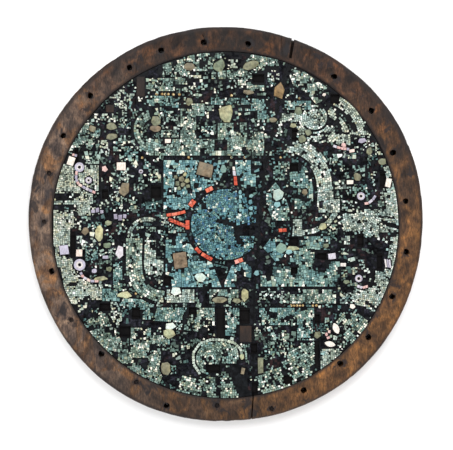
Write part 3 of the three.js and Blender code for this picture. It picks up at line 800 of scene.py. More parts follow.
def snap_into_tiles(bm, size, chance, turn, lean, big):
    """Cuts every face across its longest way until it is about size across. A few stay big."""
    waiting = list(bm.faces)
    while waiting:
        face = waiting.pop()
        angle = turn + chance.uniform(-lean, lean)
        along = Vector((math.cos(angle), math.sin(angle), 0))
        spans = []
        for direction in (along, Vector((-along.y, along.x, 0))):
            reach = [v.co.dot(direction) for v in face.verts]
            spans.append((max(reach) - min(reach), min(reach), direction))
        length, start, direction = max(spans, key=lambda span: span[0])
        if length < size * (LONGEST_BIG if chance.random() < big else LONGEST):
            continue
        share = chance.uniform(0.38, 0.62)
        if length < LAST_CUT * size:
            share = 0.5 + chance.uniform(-0.08, 0.08)
        cut = bmesh.ops.bisect_plane(
            bm,
            geom=[face, *face.edges, *face.verts],
            plane_co=direction * (start + length * share),
            plane_no=direction,
            dist=0.001 * mm,
        )
        bmesh.ops.split_edges(bm, edges=[g for g in cut["geom_cut"] if isinstance(g, bmesh.types.BMEdge)])
        waiting.extend(faces_in(cut["geom"]))


def add_copy(target, source, material_index):
    """Adds one bmesh's faces to another, with a stone of their own, and lets go of the first."""
    for face in source.faces:
        face.material_index = material_index
    mesh = bpy.data.meshes.new("passing")
    source.to_mesh(mesh)
    source.free()
    target.from_mesh(mesh)
    bpy.data.meshes.remove(mesh)


def snap_field(sheet, size, chance, turn, lean, big):
    """Cuts a sheet coarsely, then every coarse bit on its own, because small meshes cut fast."""
    coarse = size * 6
    snap_into_tiles(sheet, coarse, chance, turn, lean, 0)
    tiles = bmesh.new()
    for face in sheet.faces:
        bit = bmesh.new()
        bit.faces.new([bit.verts.new(v.co) for v in face.verts])
        bit.normal_update()
        snap_into_tiles(bit, size, chance, turn, lean, big)
        add_copy(tiles, bit, 0)
    sheet.free()
    return tiles


print("ready to cut tiles")

# %% [markdown]
# A cut sheet is still flat and whole. Slivers and crumbs go, every tile is drawn in towards its own
# middle, which leaves the joints, and each is raised to a level and a tilt of its own. Small
# chamfers catch the light as the rubbed edges of the real tiles do.

# %% Part the tiles and raise them
SMALLEST_TILE = 0.45 * mm * mm
# The area over the squared way round, below which a tile is a sliver. A square has 0.0625.
SLIVER = 0.031


def drop(bm, unwanted):
    """Removes the faces for which unwanted is true."""
    bmesh.ops.delete(bm, geom=[f for f in bm.faces if unwanted(f)], context="FACES")


def part_by_a_joint(bm, joint):
    """Draws every face in towards its own middle, so that a joint is left all round it."""
    bmesh.ops.split_edges(bm, edges=[e for e in bm.edges if len(e.link_faces) > 1])
    drop(bm, lambda f: f.calc_area() < max(SMALLEST_TILE, SLIVER * f.calc_perimeter() ** 2))
    for face in bm.faces:
        middle = face.calc_center_median()
        share = 1 - joint / math.sqrt(face.calc_area())
        for v in face.verts:
            v.co = middle + (v.co - middle) * share


def raise_copies(bm, base):
    """Sets the flat faces at a base level and raises a copy of each from it. Gives the copies."""
    for v in bm.verts:
        v.co.z = base
    raised = bmesh.ops.extrude_face_region(bm, geom=bm.faces[:], use_keep_orig=True)
    return faces_in(raised["geom"])


def raise_solids(bm, joint, top, chance, uneven, tilt, chamfer):
    """Parts flat faces by a joint and makes each a chamfered solid whose top is about at one level."""
    tone = bm.verts.layers.float["tone"]
    part_by_a_joint(bm, joint)
    upper = raise_copies(bm, tile_base)
    for face in upper:
        middle = face.calc_center_median()
        level = top + chance.gauss(0, uneven)
        slope = Vector((chance.gauss(0, tilt), chance.gauss(0, tilt)))
        value = face.verts[0][tone]
        for v in face.verts:
            v.co.z = min(level + slope.dot((v.co - middle).xy), shell_top - chamfer)
            v[tone] = value
    bmesh.ops.inset_individual(bm, faces=upper, thickness=chamfer, depth=chamfer * 0.7)
    return upper


print("ready to raise tiles from", round(tile_base / mm, 2), "mm")

# %% [markdown]
# A ray dropped on the frame's solids tells what is under a place: resin, a sheet of tiles, a socket
# or an opening. Loose tiles may lie on bare resin only, and tiles beside open ground are the ones
# that fall out first, so both questions are asked of the same rays.

# %% Know what lies under a place
EDGE_STRIP = 0.5 * mm
ABOVE_ALL = 30 * mm
DOWN = Vector((0, 0, -1))
corners, sides = [], []
for name, solid in solids.items():
    if solid.type == "MESH":
        first = len(corners)
        corners.extend(v.co.copy() for v in solid.data.vertices)
        sides.extend([first + i for i in p.vertices] for p in solid.data.polygons)
ground_rays = BVHTree.FromPolygons(corners, sides)


def level_under(place):
    """How high the frame's top is under a place. The border counts as high."""
    if (place.xy - field_centre.xy).length > FIELD_RADIUS - EDGE_STRIP:
        return shell_top
    hit = ground_rays.ray_cast(Vector((place.x, place.y, ABOVE_ALL)), DOWN)[0]
    return hit.z if hit else 0.0


def on_bare_resin(place, reach):
    """True where only resin lies within reach of a place."""
    if (place.xy - field_centre.xy).length > FIELD_RADIUS - reach - 0.6 * mm:
        return False
    for x, y in ((0, 0), (1, 1), (1, -1), (-1, 1), (-1, -1)):
        if abs(level_under(place + Vector((x * reach, y * reach, 0))) - resin_top) > 0.1 * mm:
            return False
    return True


print(len(sides), "faces to drop rays on")

# %% [markdown]
# Which stone a field gets follows the old design: the bluest stone is kept for the sun and good blue
# for most of the fields round it, teal lies at the right, at the lower right and in the panels, and
# paler grey-green fills the bands and borders. Each field has its own size of tile too.

# %% The fields and their stone
# Each is the solid that it fills, its stone and how wide its tiles are in millimetres.
FIELD_GROUPS = {
    "sun_tiles": [("sun_disc", SUN, 1.85)],
    "blue_tiles": [
        ("sun_field_upper_left", BLUE, 2.3), ("sun_field_upper_right", BLUE, 2.2),
        ("sun_field_right", TEAL, 1.9), ("sun_field_lower_left", BLUE, 2.3),
        ("sun_field_lower_right", BLUE, 2.2), ("sun_field_lower_far_right", BLUE, 2.2),
        ("lower_right_field", TEAL, 2.1), ("right_shield_field", TEAL, 2.0),
    ],
    "band_tiles": [
        ("upper_band", GREEN, 1.8), ("right_band", PALE, 1.7), ("right_band_end", PALE, 1.8),
        ("lower_band_left", PALE, 1.8), ("lower_band_middle", GREEN, 1.8), ("lower_band_right", GREEN, 1.7),
        ("left_band", GREEN, 1.8), ("left_inner_band", PALE, 1.8), ("left_loop_top", PALE, 1.7),
    ],
    "upper_tiles": [
        ("upper_strip_left", TEAL, 1.7), ("upper_strip_middle", TEAL, 1.7), ("upper_strip_right", TEAL, 1.7),
        ("upper_block", GREEN, 1.7), ("crown_left", GREEN, 1.7), ("crown_middle", GREEN, 1.7),
        ("crown_right", GREEN, 1.6), ("upper_right_field", GREEN, 1.7), ("scroll_field", PALE, 1.6),
        ("feather_field", WHITE, 1.6),
    ],
    "side_tiles": [
        ("left_side_field", WHITE, 1.6), ("upper_left_rim_field", GREEN, 1.7),
        ("lower_left_field", TEAL, 1.7), ("right_side_field", PALE, 1.5),
    ],
    "lower_tiles": [
        ("bottom_left_rim_field", GREEN, 1.6), ("bottom_left_panel", TEAL, 1.7),
        ("bottom_green_panel", GREEN, 1.7), ("bottom_middle_panel", TEAL, 1.7),
        ("bottom_right_panel", TEAL, 1.7), ("roundel", GREEN, 1.6), ("bottom_rim_field", GREEN, 1.6),
        ("bottom_right_rim_field", GREEN, 1.6), ("lower_right_wedge", PALE, 1.6),
        ("lower_right_rim_field", GREEN, 1.6),
    ],
}
print(sum(len(group) for group in FIELD_GROUPS.values()), "fields in", len(FIELD_GROUPS), "groups")

# %% [markdown]
# Narrow lines of bare resin run through the mosaic where a row has fallen out or two parts of the
# picture are kept apart. Straight lines with a width say where no tile may lie.

# %% Bare grooves
# Each is the two ends of a straight line and its width.
BARE_GROOVES = [
    (-120, -64.5, -109, -57, 2.6), (-115.4, -75, -105, -62, 2.8), (110.6, -61.6, 119, -67, 2.2),
    (106.6, -66, 115.4, -71.6, 3), (117.4, -38, 114.6, -48, 3), (121, -26, 122.6, -36, 4),
    (123.5, 2.4, 135, -2.2, 3.2), (121, 6.4, 133, 5.4, 1.4), (88, 86, 90.4, 72, 3),
    (96.8, 84, 101.8, 75, 3.8),
    (-73, -92, -66, -84, 1.8), (-100, 92, -92, 86, 1.6), (44, -113, 52, -119, 2), (76, 98, 70, 90, 1.6),
    (-8, 108, -8, 116, 1.4), (-138, 22.6, -131, 19.6, 2.4), (-131, 19.6, -123, 20, 2.6),
    (-123, 20, -117, 23.4, 2.2), (-117, 23.4, -113.6, 28.6, 1.4), (6.6, -119, 15.4, -138, 9),
    (14, -113, 16.6, -133, 8), (4, -115.6, 12, -115, 6), (74, 60.4, 86, 60.4, 6),
    (31, 124, 42, 124, 4), (-68, 118.5, -54, 121.5, 7), (10, -4.6, 22, -3.8, 9), (-2, 2.4, 9, -2, 3.2),
    (8, -9, 12.6, -15, 3),
]


def in_a_groove(place):
    """True where a place lies in one of the narrow bare grooves."""
    for x0, y0, x1, y1, width in BARE_GROOVES:
        start, end = at(x0, y0), at(x1, y1)
        along = (end - start).length
        share = min(max((place - start).xy.dot((end - start).xy) / along**2, 0), 1)
        if (place.xy - start.lerp(end, share).xy).length < width / 2 * mm:
            return True
    return False


print(len(BARE_GROOVES), "bare grooves")

# %% [markdown]
# Tiles have also dropped out here and there, mostly in little clusters, so noise decides which. Each
# stone has held in its own measure, and some fields better or worse than their stone. Tiles beside
# wide open ground go first. Tones drift slowly from place to place, as in stone from one nodule.

# %% Which tiles are lost, and the tones of the others
TILE_JOINT = 0.26 * mm
TILE_CHAMFER = 0.16 * mm
# How well each stone has held: the noise above which a cluster of its tiles is lost.
HOLD = {SUN: 0.63, BLUE: 0.62, GREEN: 0.43, PALE: 0.64, WHITE: 0.66, TEAL: 0.5}
BAND_HOLD = 0.6
# Fields that have held better or worse than their stone.
FIELD_HOLD = {
    "upper_band": 0.45, "lower_right_field": 0.8, "sun_field_lower_right": 0.46,
    "sun_field_lower_left": 0.54, "scroll_field": 0.46, "bottom_left_rim_field": 0.36,
    "bottom_right_rim_field": 0.34, "bottom_right_panel": 0.4, "feather_field": 0.52,
}
COMPASS = [Vector((math.cos(a * math.pi / 4), math.sin(a * math.pi / 4), 0)) for a in range(8)]
NEXT_TILE, PAST_A_GROOVE = 2.3 * mm, 5.2 * mm


def is_open(place):
    """True where no stone lies under a place."""
    return level_under(place) < tile_top - mm


def beside_open_ground(place):
    """True where open ground begins next to a place and is wider than a groove."""
    return any(is_open(place + way * NEXT_TILE) and is_open(place + way * PAST_A_GROOVE) for way in COMPASS)


def fallen_out(face, chance, hold, ragged):
    """True where a tile is lost: in small clusters, at ragged edges, and now and then a single one."""
    middle = face.calc_center_median()
    cluster = noise.noise(middle * 230) + 0.5 * noise.noise(middle * 520)
    if cluster > hold or chance.random() < 0.03 or in_a_groove(middle):
        return True
    return ragged and cluster > 0.0 and chance.random() < 0.42 and beside_open_ground(middle)


def give_tones(bm, chance, spread=1.0):
    """Gives each tile its own tone, drifting a little from place to place."""
    tone = bm.verts.layers.float.new("tone")
    for face in bm.faces:
        middle = face.calc_center_median()
        drift = 0.22 * noise.noise(middle * 90) + 0.3 * noise.noise(middle * 210)
        value = min(max(0.5 + spread * (chance.betavariate(1.1, 1.1) - 0.5) + drift, 0), 1)
        for v in face.verts:
            v[tone] = value


print(len(HOLD), "stones, and", len(FIELD_HOLD), "fields that have held in their own measure")

# %% [markdown]
# Larger stones are set among the small tiles: squares of brown stone in the sun's corners and olive
# and cream nodules. Their places come first, because the small tiles must make room for them.

# %% Places of the larger stones
# Each is x, y, width, height, turn in degrees, number of sides and tone.
LARGE_STONES = [
    (-17, 43.2, 12.6, 11, -14, 4, 0.06), (-37, -28.4, 11, 12, 8, 4, 0.02), (0, 88, 11.4, 12, 0, 8, 0.62),
    (41.8, 105.6, 11, 8.4, 96, 5, 0.98), (-29.4, 125.6, 8, 6.6, 0, 8, 0.1),
    (-5.6, 126, 9.6, 9.4, 10, 8, 0.36),
    (-101, -8, 6, 13.4, 2, 8, 0.82), (-81, -56, 10, 5, 0, 8, 0.78), (-45, -86.6, 8.4, 7.6, 0, 8, 0.64),
    (-48.6, -114.6, 8.4, 9.8, 6, 8, 0.22), (-81, 27.6, 7, 10.6, -8, 5, 0.1), (-91, 77.6, 8, 6, 0, 8, 0.28),
    (-91.4, 69.4, 8, 5, 8, 8, 0.26), (-56.4, 82, 7.6, 7, 0, 8, 0.3), (-56, 76.4, 9, 5, 0, 8, 0.04),
    (-5, -59.8, 12, 5, 0, 8, 0.2), (8, -60.6, 6, 4, 0, 5, 0.3), (14.4, -56, 5.6, 9.6, 4, 8, 0.62),
    (27, -112, 4.2, 13, 0, 4, 0.3), (12.2, -105, 3.4, 5, 10, 8, 0.74), (13, -116.4, 2.8, 5, -12, 4, 0.1),
    (62, 25.8, 4, 4.6, 0, 5, 0.12),
    (-35.6, 36, 4.4, 4, 20, 5, 0.24), (-31.4, 34.6, 3.6, 3.4, 0, 5, 0.52), (-34.6, 31.4, 4, 3.4, 30, 6, 0.26),
    (-39, 32.6, 3.2, 3.6, 0, 4, 0.34), (-33, 39.6, 3.4, 3, 50, 5, 0.6), (-38, 28.6, 3, 3, 0, 5, 0.44),
    (-30.6, 30.4, 3, 2.6, 12, 4, 0.38), (-40.4, 37.6, 2.8, 3, 0, 5, 0.3), (-112, -5.4, 5, 6, 0, 5, 0.08),
    (104, 38, 5.4, 6, 6, 8, 0.24), (123.6, 50, 6, 5, -20, 8, 0.3), (113.4, 58.4, 4.4, 6, 0, 8, 0.3),
    (76.4, -1.4, 5.6, 4.8, 12, 8, 0.66), (57, 90.4, 5, 6.6, 0, 5, 0.38), (72.4, -88, 4.6, 5.6, 0, 5, 0.3),
    (53, -19, 9, 3.4, 4, 5, 0.66), (-94.6, -16.6, 6, 4.4, 0, 8, 0.4), (-93.2, -35.4, 4, 4.4, 0, 8, 0.38),
    (-99.6, -43, 10.4, 3, 4, 5, 0.6), (79, -17, 4.4, 3.4, 0, 5, 0.36), (37, 83, 6, 4.4, 0, 8, 0.16),
    (17.6, 105, 8.6, 3, 0, 5, 0.12), (19, 126.6, 12, 6.4, 14, 8, 0.3), (-106.4, 76, 6, 5, 0, 8, 0.14),
    (-29.6, 97.6, 4.6, 5.6, 0, 5, 0.3), (53, 78.6, 4.6, 3.6, 0, 5, 0.56), (95, -45.6, 5, 3, 0, 5, 0.4),
    (-93.6, 1, 5.6, 4, 0, 8, 0.52), (60, 68, 6, 6, 10, 8, 0.36), (65, 73, 5, 5, 0, 8, 0.32),
]
print(len(LARGE_STONES), "larger stones")

# %% [markdown]
# Blocks of white, pink and lavender shell lie beside the four side figures, slabs of good blue
# stone round the sun's ring, and two little rings among the tiles. They are written down in the
# same way as the stones.

# %% Places of the shell blocks, slabs and little rings
SHELL_BLOCKS = [
    (-123.4, 50.2, 5.6, 6.6, -18, 4, 0.46), (-83.6, 46, 7, 6.2, 0, 4, 0.36), (-96.8, 44, 4, 4.2, 10, 5, 0.08),
    (-117, -22.6, 4.8, 5.4, 0, 4, 0.3), (-129, -20.4, 6.8, 7.4, 8, 4, 0.78),
    (-84.8, -22, 5, 8.4, -6, 5, 0.66),
    (-96, -26, 4.6, 2.4, 0, 4, 0.86), (98, 33.6, 5.4, 3.2, 0, 4, 0.5), (128.6, 33, 4.2, 7.2, -10, 4, 0.44),
    (83.6, -25.4, 6.2, 4.8, 6, 4, 0.7), (92.6, -32, 4.6, 2.8, 0, 4, 0.56),
    (126.4, -30.8, 1.4, 6.6, 8, 4, 0.6), (128.1, -31, 1.3, 6.6, 8, 4, 0.9),
    (129.7, -31.2, 1.4, 6.6, 8, 4, 0.7), (-106, 10.4, 3.2, 2.6, 4, 4, 0.9),
    (-102.4, 11.4, 2.8, 3.6, 0, 4, 0.98),
    (-99, 10, 2.6, 2.6, 0, 4, 0.86), (-88, 6.2, 3, 4, 6, 4, 0.96), (-84.4, 5.4, 3.2, 4.4, 0, 4, 1.0),
    (-80.8, 6.4, 2.6, 3.2, 0, 4, 0.9),
    (107.4, 66.4, 6, 4, 10, 5, 0.9), (93, 63, 3, 3.4, 0, 5, 0.05), (-46.6, 66.2, 5, 3.2, 0, 4, 0.4),
    (100, -65, 3.6, 4, 0, 5, 0.5), (-104.8, -36.8, 4.4, 3.8, 0, 8, 0.84), (99.6, 58.4, 4.6, 2.4, 10, 4, 0.2),
    (77.6, 103, 2.6, 2.4, 0, 5, 0.45), (79.4, -87.4, 2.4, 3, 0, 5, 0.0), (81.6, -85.2, 2, 2.4, 0, 4, 0.1),
    (80.8, -90, 2.6, 2, 20, 4, 0.0),
]
BLUE_SLABS = [
    (41, 23.4, 8, 8.6, 20, 6, 0.9), (40.6, 15.6, 5, 4.6, 0, 5, 0.6), (43.4, -18.6, 8.4, 7.6, 30, 6, 0.86),
    (49.6, -21.6, 5, 4.4, 0, 5, 0.6), (-21, -42, 8.6, 7.4, 0, 6, 0.92), (-44.4, -81, 8, 5.4, 10, 5, 0.95),
    (11, 25.4, 2.4, 3.4, 4, 5, 0.5), (11.2, 21.8, 2.3, 3, 0, 4, 0.62), (10.9, 18.2, 2.4, 3.4, 8, 5, 0.42),
    (11.1, 14.6, 2.2, 3.2, 0, 4, 0.58), (11, 11.2, 2.4, 2.8, 0, 5, 0.48), (19.6, 22.6, 3.4, 3.2, 20, 5, 0.5),
    (19, 17.6, 3, 3.6, 0, 5, 0.3), (19.2, 12.6, 3.2, 3, 40, 5, 0.55),
    (19.3, 8.4, 2.6, 2.8, 0, 5, 0.4), (-2.4, 44, 4.4, 6, 0, 6, 0.84), (24, -38.6, 4, 4, 0, 5, 0.5),
    (-40.4, -53, 8, 6, 0, 5, 0.95),
]
SMALL_RINGS = [(-109.5, 35, 5.4, 5.4, 0, 8, 0.5), (-68, 42, 3.6, 3.6, 0, 8, 0.5)]
print(len(SHELL_BLOCKS), "shell blocks,", len(BLUE_SLABS), "slabs and", len(SMALL_RINGS), "little rings")

# %% [markdown]
# Strips of little pink and lavender bits edge the side figures, and a row of cream ones bends round
# the roundel. Bits set one after another along a line of points make both.

# %% Places of the strips and the cream row
STRIP_TONES = (0.0, 0.05, 0.2, 0.7, 0.9)
BIT_GAP = 0.2
# Each strip is the points that it runs through.
PINK_STRIPS = [
    [(-119, 42.4), (-119.4, 36), (-117.4, 32), (-112, 28.6), (-104, 25)],
    [(-116, -38), (-113.6, -42), (-108, -45), (-101.6, -45)],
    [(109.6, 16.4), (113, 17), (116, 19.4), (118.4, 23)],
    [(103.6, -48.8), (108, -50.4), (112.4, -49)],
    [(-122.6, 55.6), (-118.6, 54.4)],
    [(84.6, 62.4), (90.6, 60.4), (97.6, 59.6)],
]


def bits_along(points, length, width, chance):
    """Little four-sided bits set one after another along a line of points."""
    bits = []
    for start, end in zip(points, points[1:]):
        run = math.dist(start, end)
        turn = math.degrees(math.atan2(end[1] - start[1], end[0] - start[0]))
        count = max(1, round(run / length))
        for i in range(count):
            share = (i + 0.5) / count
            x = start[0] + (end[0] - start[0]) * share
            y = start[1] + (end[1] - start[1]) * share
            bits.append((x, y, run / count - BIT_GAP, width, turn, 4, chance.choice(STRIP_TONES)))
    return bits


CREAM_ROW = [
    (-21, -119), (-26, -111), (-26.4, -102), (-21, -94.4), (-12, -91.4), (-2, -91.8), (6, -94), (11, -98.6),
    (13, -106),
]
chance = random.Random(3)
strip_bits = [bit for strip in PINK_STRIPS for bit in bits_along(strip, 2.7, 2.1, chance)]
cream_bits = [(*bit[:-1], chance.uniform(0.15, 0.6)) for bit in bits_along(CREAM_ROW, 2.5, 2.1, chance)]
print(len(strip_bits), "bits in the strips and", len(cream_bits), "in the cream row")

# %% [markdown]
# Small tiles make room for all of these. A superellipse tells whether a place is under one of them:
# a high power hugs a squared block, and a low one a rounded stone.

# %% Room for the larger stones
SQUARED, ROUNDED = 6, 2.3
# No stone reaches further than this from its middle.
FARTHEST = 10 * mm
ALL_LARGE = LARGE_STONES + SHELL_BLOCKS + BLUE_SLABS + SMALL_RINGS + strip_bits + cream_bits
occupied = [
    (at(x, y), width / 2, height / 2, math.radians(turn), SQUARED if sides == 4 else ROUNDED)
    for x, y, width, height, turn, sides, _tone in ALL_LARGE
]


def under_large_stone(place, margin=0.75):
    """True where a larger stone, a block or a bit of a strip already lies."""
    for middle, half_width, half_height, turn, power in occupied:
        x, y = place.x - middle.x, place.y - middle.y
        if abs(x) > FARTHEST or abs(y) > FARTHEST:
            continue
        across = abs(x * math.cos(turn) + y * math.sin(turn)) / (half_width + margin) / mm
        along = abs(y * math.cos(turn) - x * math.sin(turn)) / (half_height + margin) / mm
        if across**power + along**power < 1:
            return True
    return False


print(len(occupied), "places taken")

# %% [markdown]
# In the curved bands the old setters laid their rows round the bend. One radial edge, spun about the
# bend's middle, gives a ring of four-sided tiles, and rings side by side fill the bend. A tile is
# kept where its middle lies over the field's own sheet.

# %% Lay rows of tiles round a bend
SMALLEST_HOLE = 9 * mm
JITTER = 0.09
# The middle of each bend, and on which side of it, left or right and up or down, the rows turn.
BENDS = {
    "upper_band": (-57, 75, -1, 0), "feather_field": (72, 66, 0, 0), "scroll_field": (70, 85, 0, 0),
    "right_band": (46, 30, 1, 1), "left_band": (-50, -36, -1, -1), "left_inner_band": (-50, -36, -1, -1),
    "left_loop_top": (-63, -10, 0, 0), "right_side_field": (122, 10, -1, -1), "roundel": (-13, -106.4, 0, 0),
    "bottom_rim_field": (0, 0, 0, 0), "bottom_right_rim_field": (0, 0, 0, 0),
    "lower_right_rim_field": (0, 0, 0, 0),
}


def ring_rows(sheet, centre, side_x, side_y, size, chance):
    """Takes the bend's part off a flat sheet and gives tiles laid in rows round its middle."""
    for direction in (Vector((1, 0, 0)), Vector((0, 1, 0))):
        everything = sheet.faces[:] + sheet.edges[:] + sheet.verts[:]
        bmesh.ops.bisect_plane(sheet, geom=everything, plane_co=centre, plane_no=direction)

    def in_bend(face):
        away = face.calc_center_median() - centre
        return away.x * side_x >= 0 and away.y * side_y >= 0

    rows = bmesh.new()
    bend = [f for f in sheet.faces if in_bend(f)]
    sheet.verts.index_update()
    outlines = [[v.index for v in f.verts] for f in bend]
    under = BVHTree.FromPolygons([v.co.copy() for v in sheet.verts], outlines)
    corners = [v.co - centre for f in bend for v in f.verts]
    away = [corner.xy.length for corner in corners]
    level = bend[0].verts[0].co.z
    bmesh.ops.delete(sheet, geom=bend, context="FACES")
    heading = sum(corners, Vector())
    heading = math.atan2(heading.y, heading.x)
    reach = [(math.atan2(c.y, c.x) - heading + 3 * math.pi) % (2 * math.pi) - math.pi for c in corners]
    first, last = (-math.pi, math.pi) if max(reach) - min(reach) > 4 else (min(reach), max(reach))
    middle = Vector((centre.x, centre.y, level))
    radius = 0.1 * mm if min(away) < SMALLEST_HOLE else min(away)
    while radius < max(away):
        row = size * chance.uniform(0.92, 1.1)
        start = heading + first - chance.uniform(0, size / (radius + row))
        way = Vector((math.cos(start), math.sin(start), 0))
        ring = bmesh.new()
        ends = [ring.verts.new(middle + way * r) for r in (radius, radius + row)]
        turn = last - first + size / (radius + row)
        bmesh.ops.spin(
            ring,
            geom=ends + [ring.edges.new(ends)],
            axis=(0, 0, 1),
            cent=middle,
            angle=turn,
            steps=max(3, round(turn * (radius + row / 2) / (size * chance.uniform(0.95, 1.25)))),
        )
        add_copy(rows, ring, 0)
        radius += row * 1.02
    lift = Vector((0, 0, 5 * mm))
    drop(rows, lambda f: not in_bend(f) or under.ray_cast(f.calc_center_median() + lift, DOWN)[0] is None)
    bmesh.ops.recalc_face_normals(rows, faces=rows.faces[:])
    bmesh.ops.split_edges(rows, edges=rows.edges[:])
    bmesh.ops.reverse_faces(rows, faces=[f for f in rows.faces if f.normal.z < 0])
    for v in rows.verts:
        sideways = chance.uniform(-JITTER, JITTER)
        v.co += Vector((sideways, chance.uniform(-JITTER, JITTER), 0)) * mm
    return rows


print(len(BENDS), "bends")

# %% [markdown]
# Now every field is cut, thinned, given its tones and raised. Fields of one kind are kept together
# in one piece, which then stands for all of their solids.

# %% Make the tiles of every field
# How far the cuts of a stone's tiles lean, and the share of its tiles that stay big.
CUTTING = {
    SUN: (0.5, 0.18), BLUE: (0.42, 0.3), GREEN: (0.34, 0.2), PALE: (0.24, 0.1), WHITE: (0.2, 0.05),
    TEAL: (0.34, 0.2),
}
field_top = tile_top - 0.22 * mm
for group_name, fields in FIELD_GROUPS.items():
    chance = random.Random(group_name)
    in_bands = group_name == "band_tiles"
    group = bmesh.new()
    group.verts.layers.float.new("tone")
    for node, stone, size in fields:
        sheet = flat_top(node)
        rows = None
        if node in BENDS:
            x, y, side_x, side_y = BENDS[node]
            rows = ring_rows(sheet, at(x, y), side_x, side_y, size * mm, chance)
        lean, big = CUTTING[stone]
        bits = snap_field(sheet, size * mm, chance, chance.uniform(-0.1, 0.1), lean, big)
        hold = FIELD_HOLD.get(node, BAND_HOLD if in_bands else HOLD[stone])
        for part in (bits, rows) if rows else (bits,):
            ragged = part is bits and not in_bands

            def is_missing(face):
                return fallen_out(face, chance, hold, ragged) or under_large_stone(face.calc_center_median())

            drop(part, is_missing)
            give_tones(part, chance, 0.9 if stone == BLUE else 1.0)
            add_copy(group, part, stone)
    raise_solids(group, TILE_JOINT, field_top, chance, 0.06 * mm, 0.045, TILE_CHAMFER)
    make_piece(group_name, group, STONES, [node for node, _stone, _size in fields])

# %% [markdown]
# Between the fields the ground has lost most of its stone. Some tiles are still there, in patches
# and one by one, and no two may overlap. A table of places already taken, by small squares, keeps
# them apart without comparing each with every other. The bare grooves stay free of them too.

# %% Keep loose tiles apart
CELL = 2 * mm
OVERLAP = 0.9
kept_places = {}


def is_free(place, room):
    """True, once, for a place outside the grooves with no other loose tile within room of it."""
    if in_a_groove(place):
        return False
    cell = (round(place.x / CELL), round(place.y / CELL))
    for x in (-1, 0, 1):
        for y in (-1, 0, 1):
            for other, other_room in kept_places.get((cell[0] + x, cell[1] + y), ()):
                if (other - place).xy.length < (room + other_room) * OVERLAP:
                    return False
    kept_places.setdefault(cell, []).append((place.copy(), room))
    return True


def fits(place, room):
    """True, once, where a loose tile finds bare resin, clear of the larger stones and other tiles."""
    if under_large_stone(place, room / mm):
        return False
    return on_bare_resin(place, room) and is_free(place, room)


def lay_square(bm, place, turn, half_width, half_height):
    """Adds one flat rectangle about a place."""
    shape = Matrix.Diagonal((half_width, half_height, 1, 1))
    matrix = Matrix.Translation(place) @ Matrix.Rotation(turn, 4, "Z") @ shape
    bmesh.ops.create_grid(bm, x_segments=1, y_segments=1, size=1, matrix=matrix)


print("room for loose tiles")

# %% [markdown]
# The real shield keeps many small patches of loose tiles, each of one kind of stone. Where a patch
# lies and how many of its tiles are left is written down here. Which tiles those are is left to
# chance.

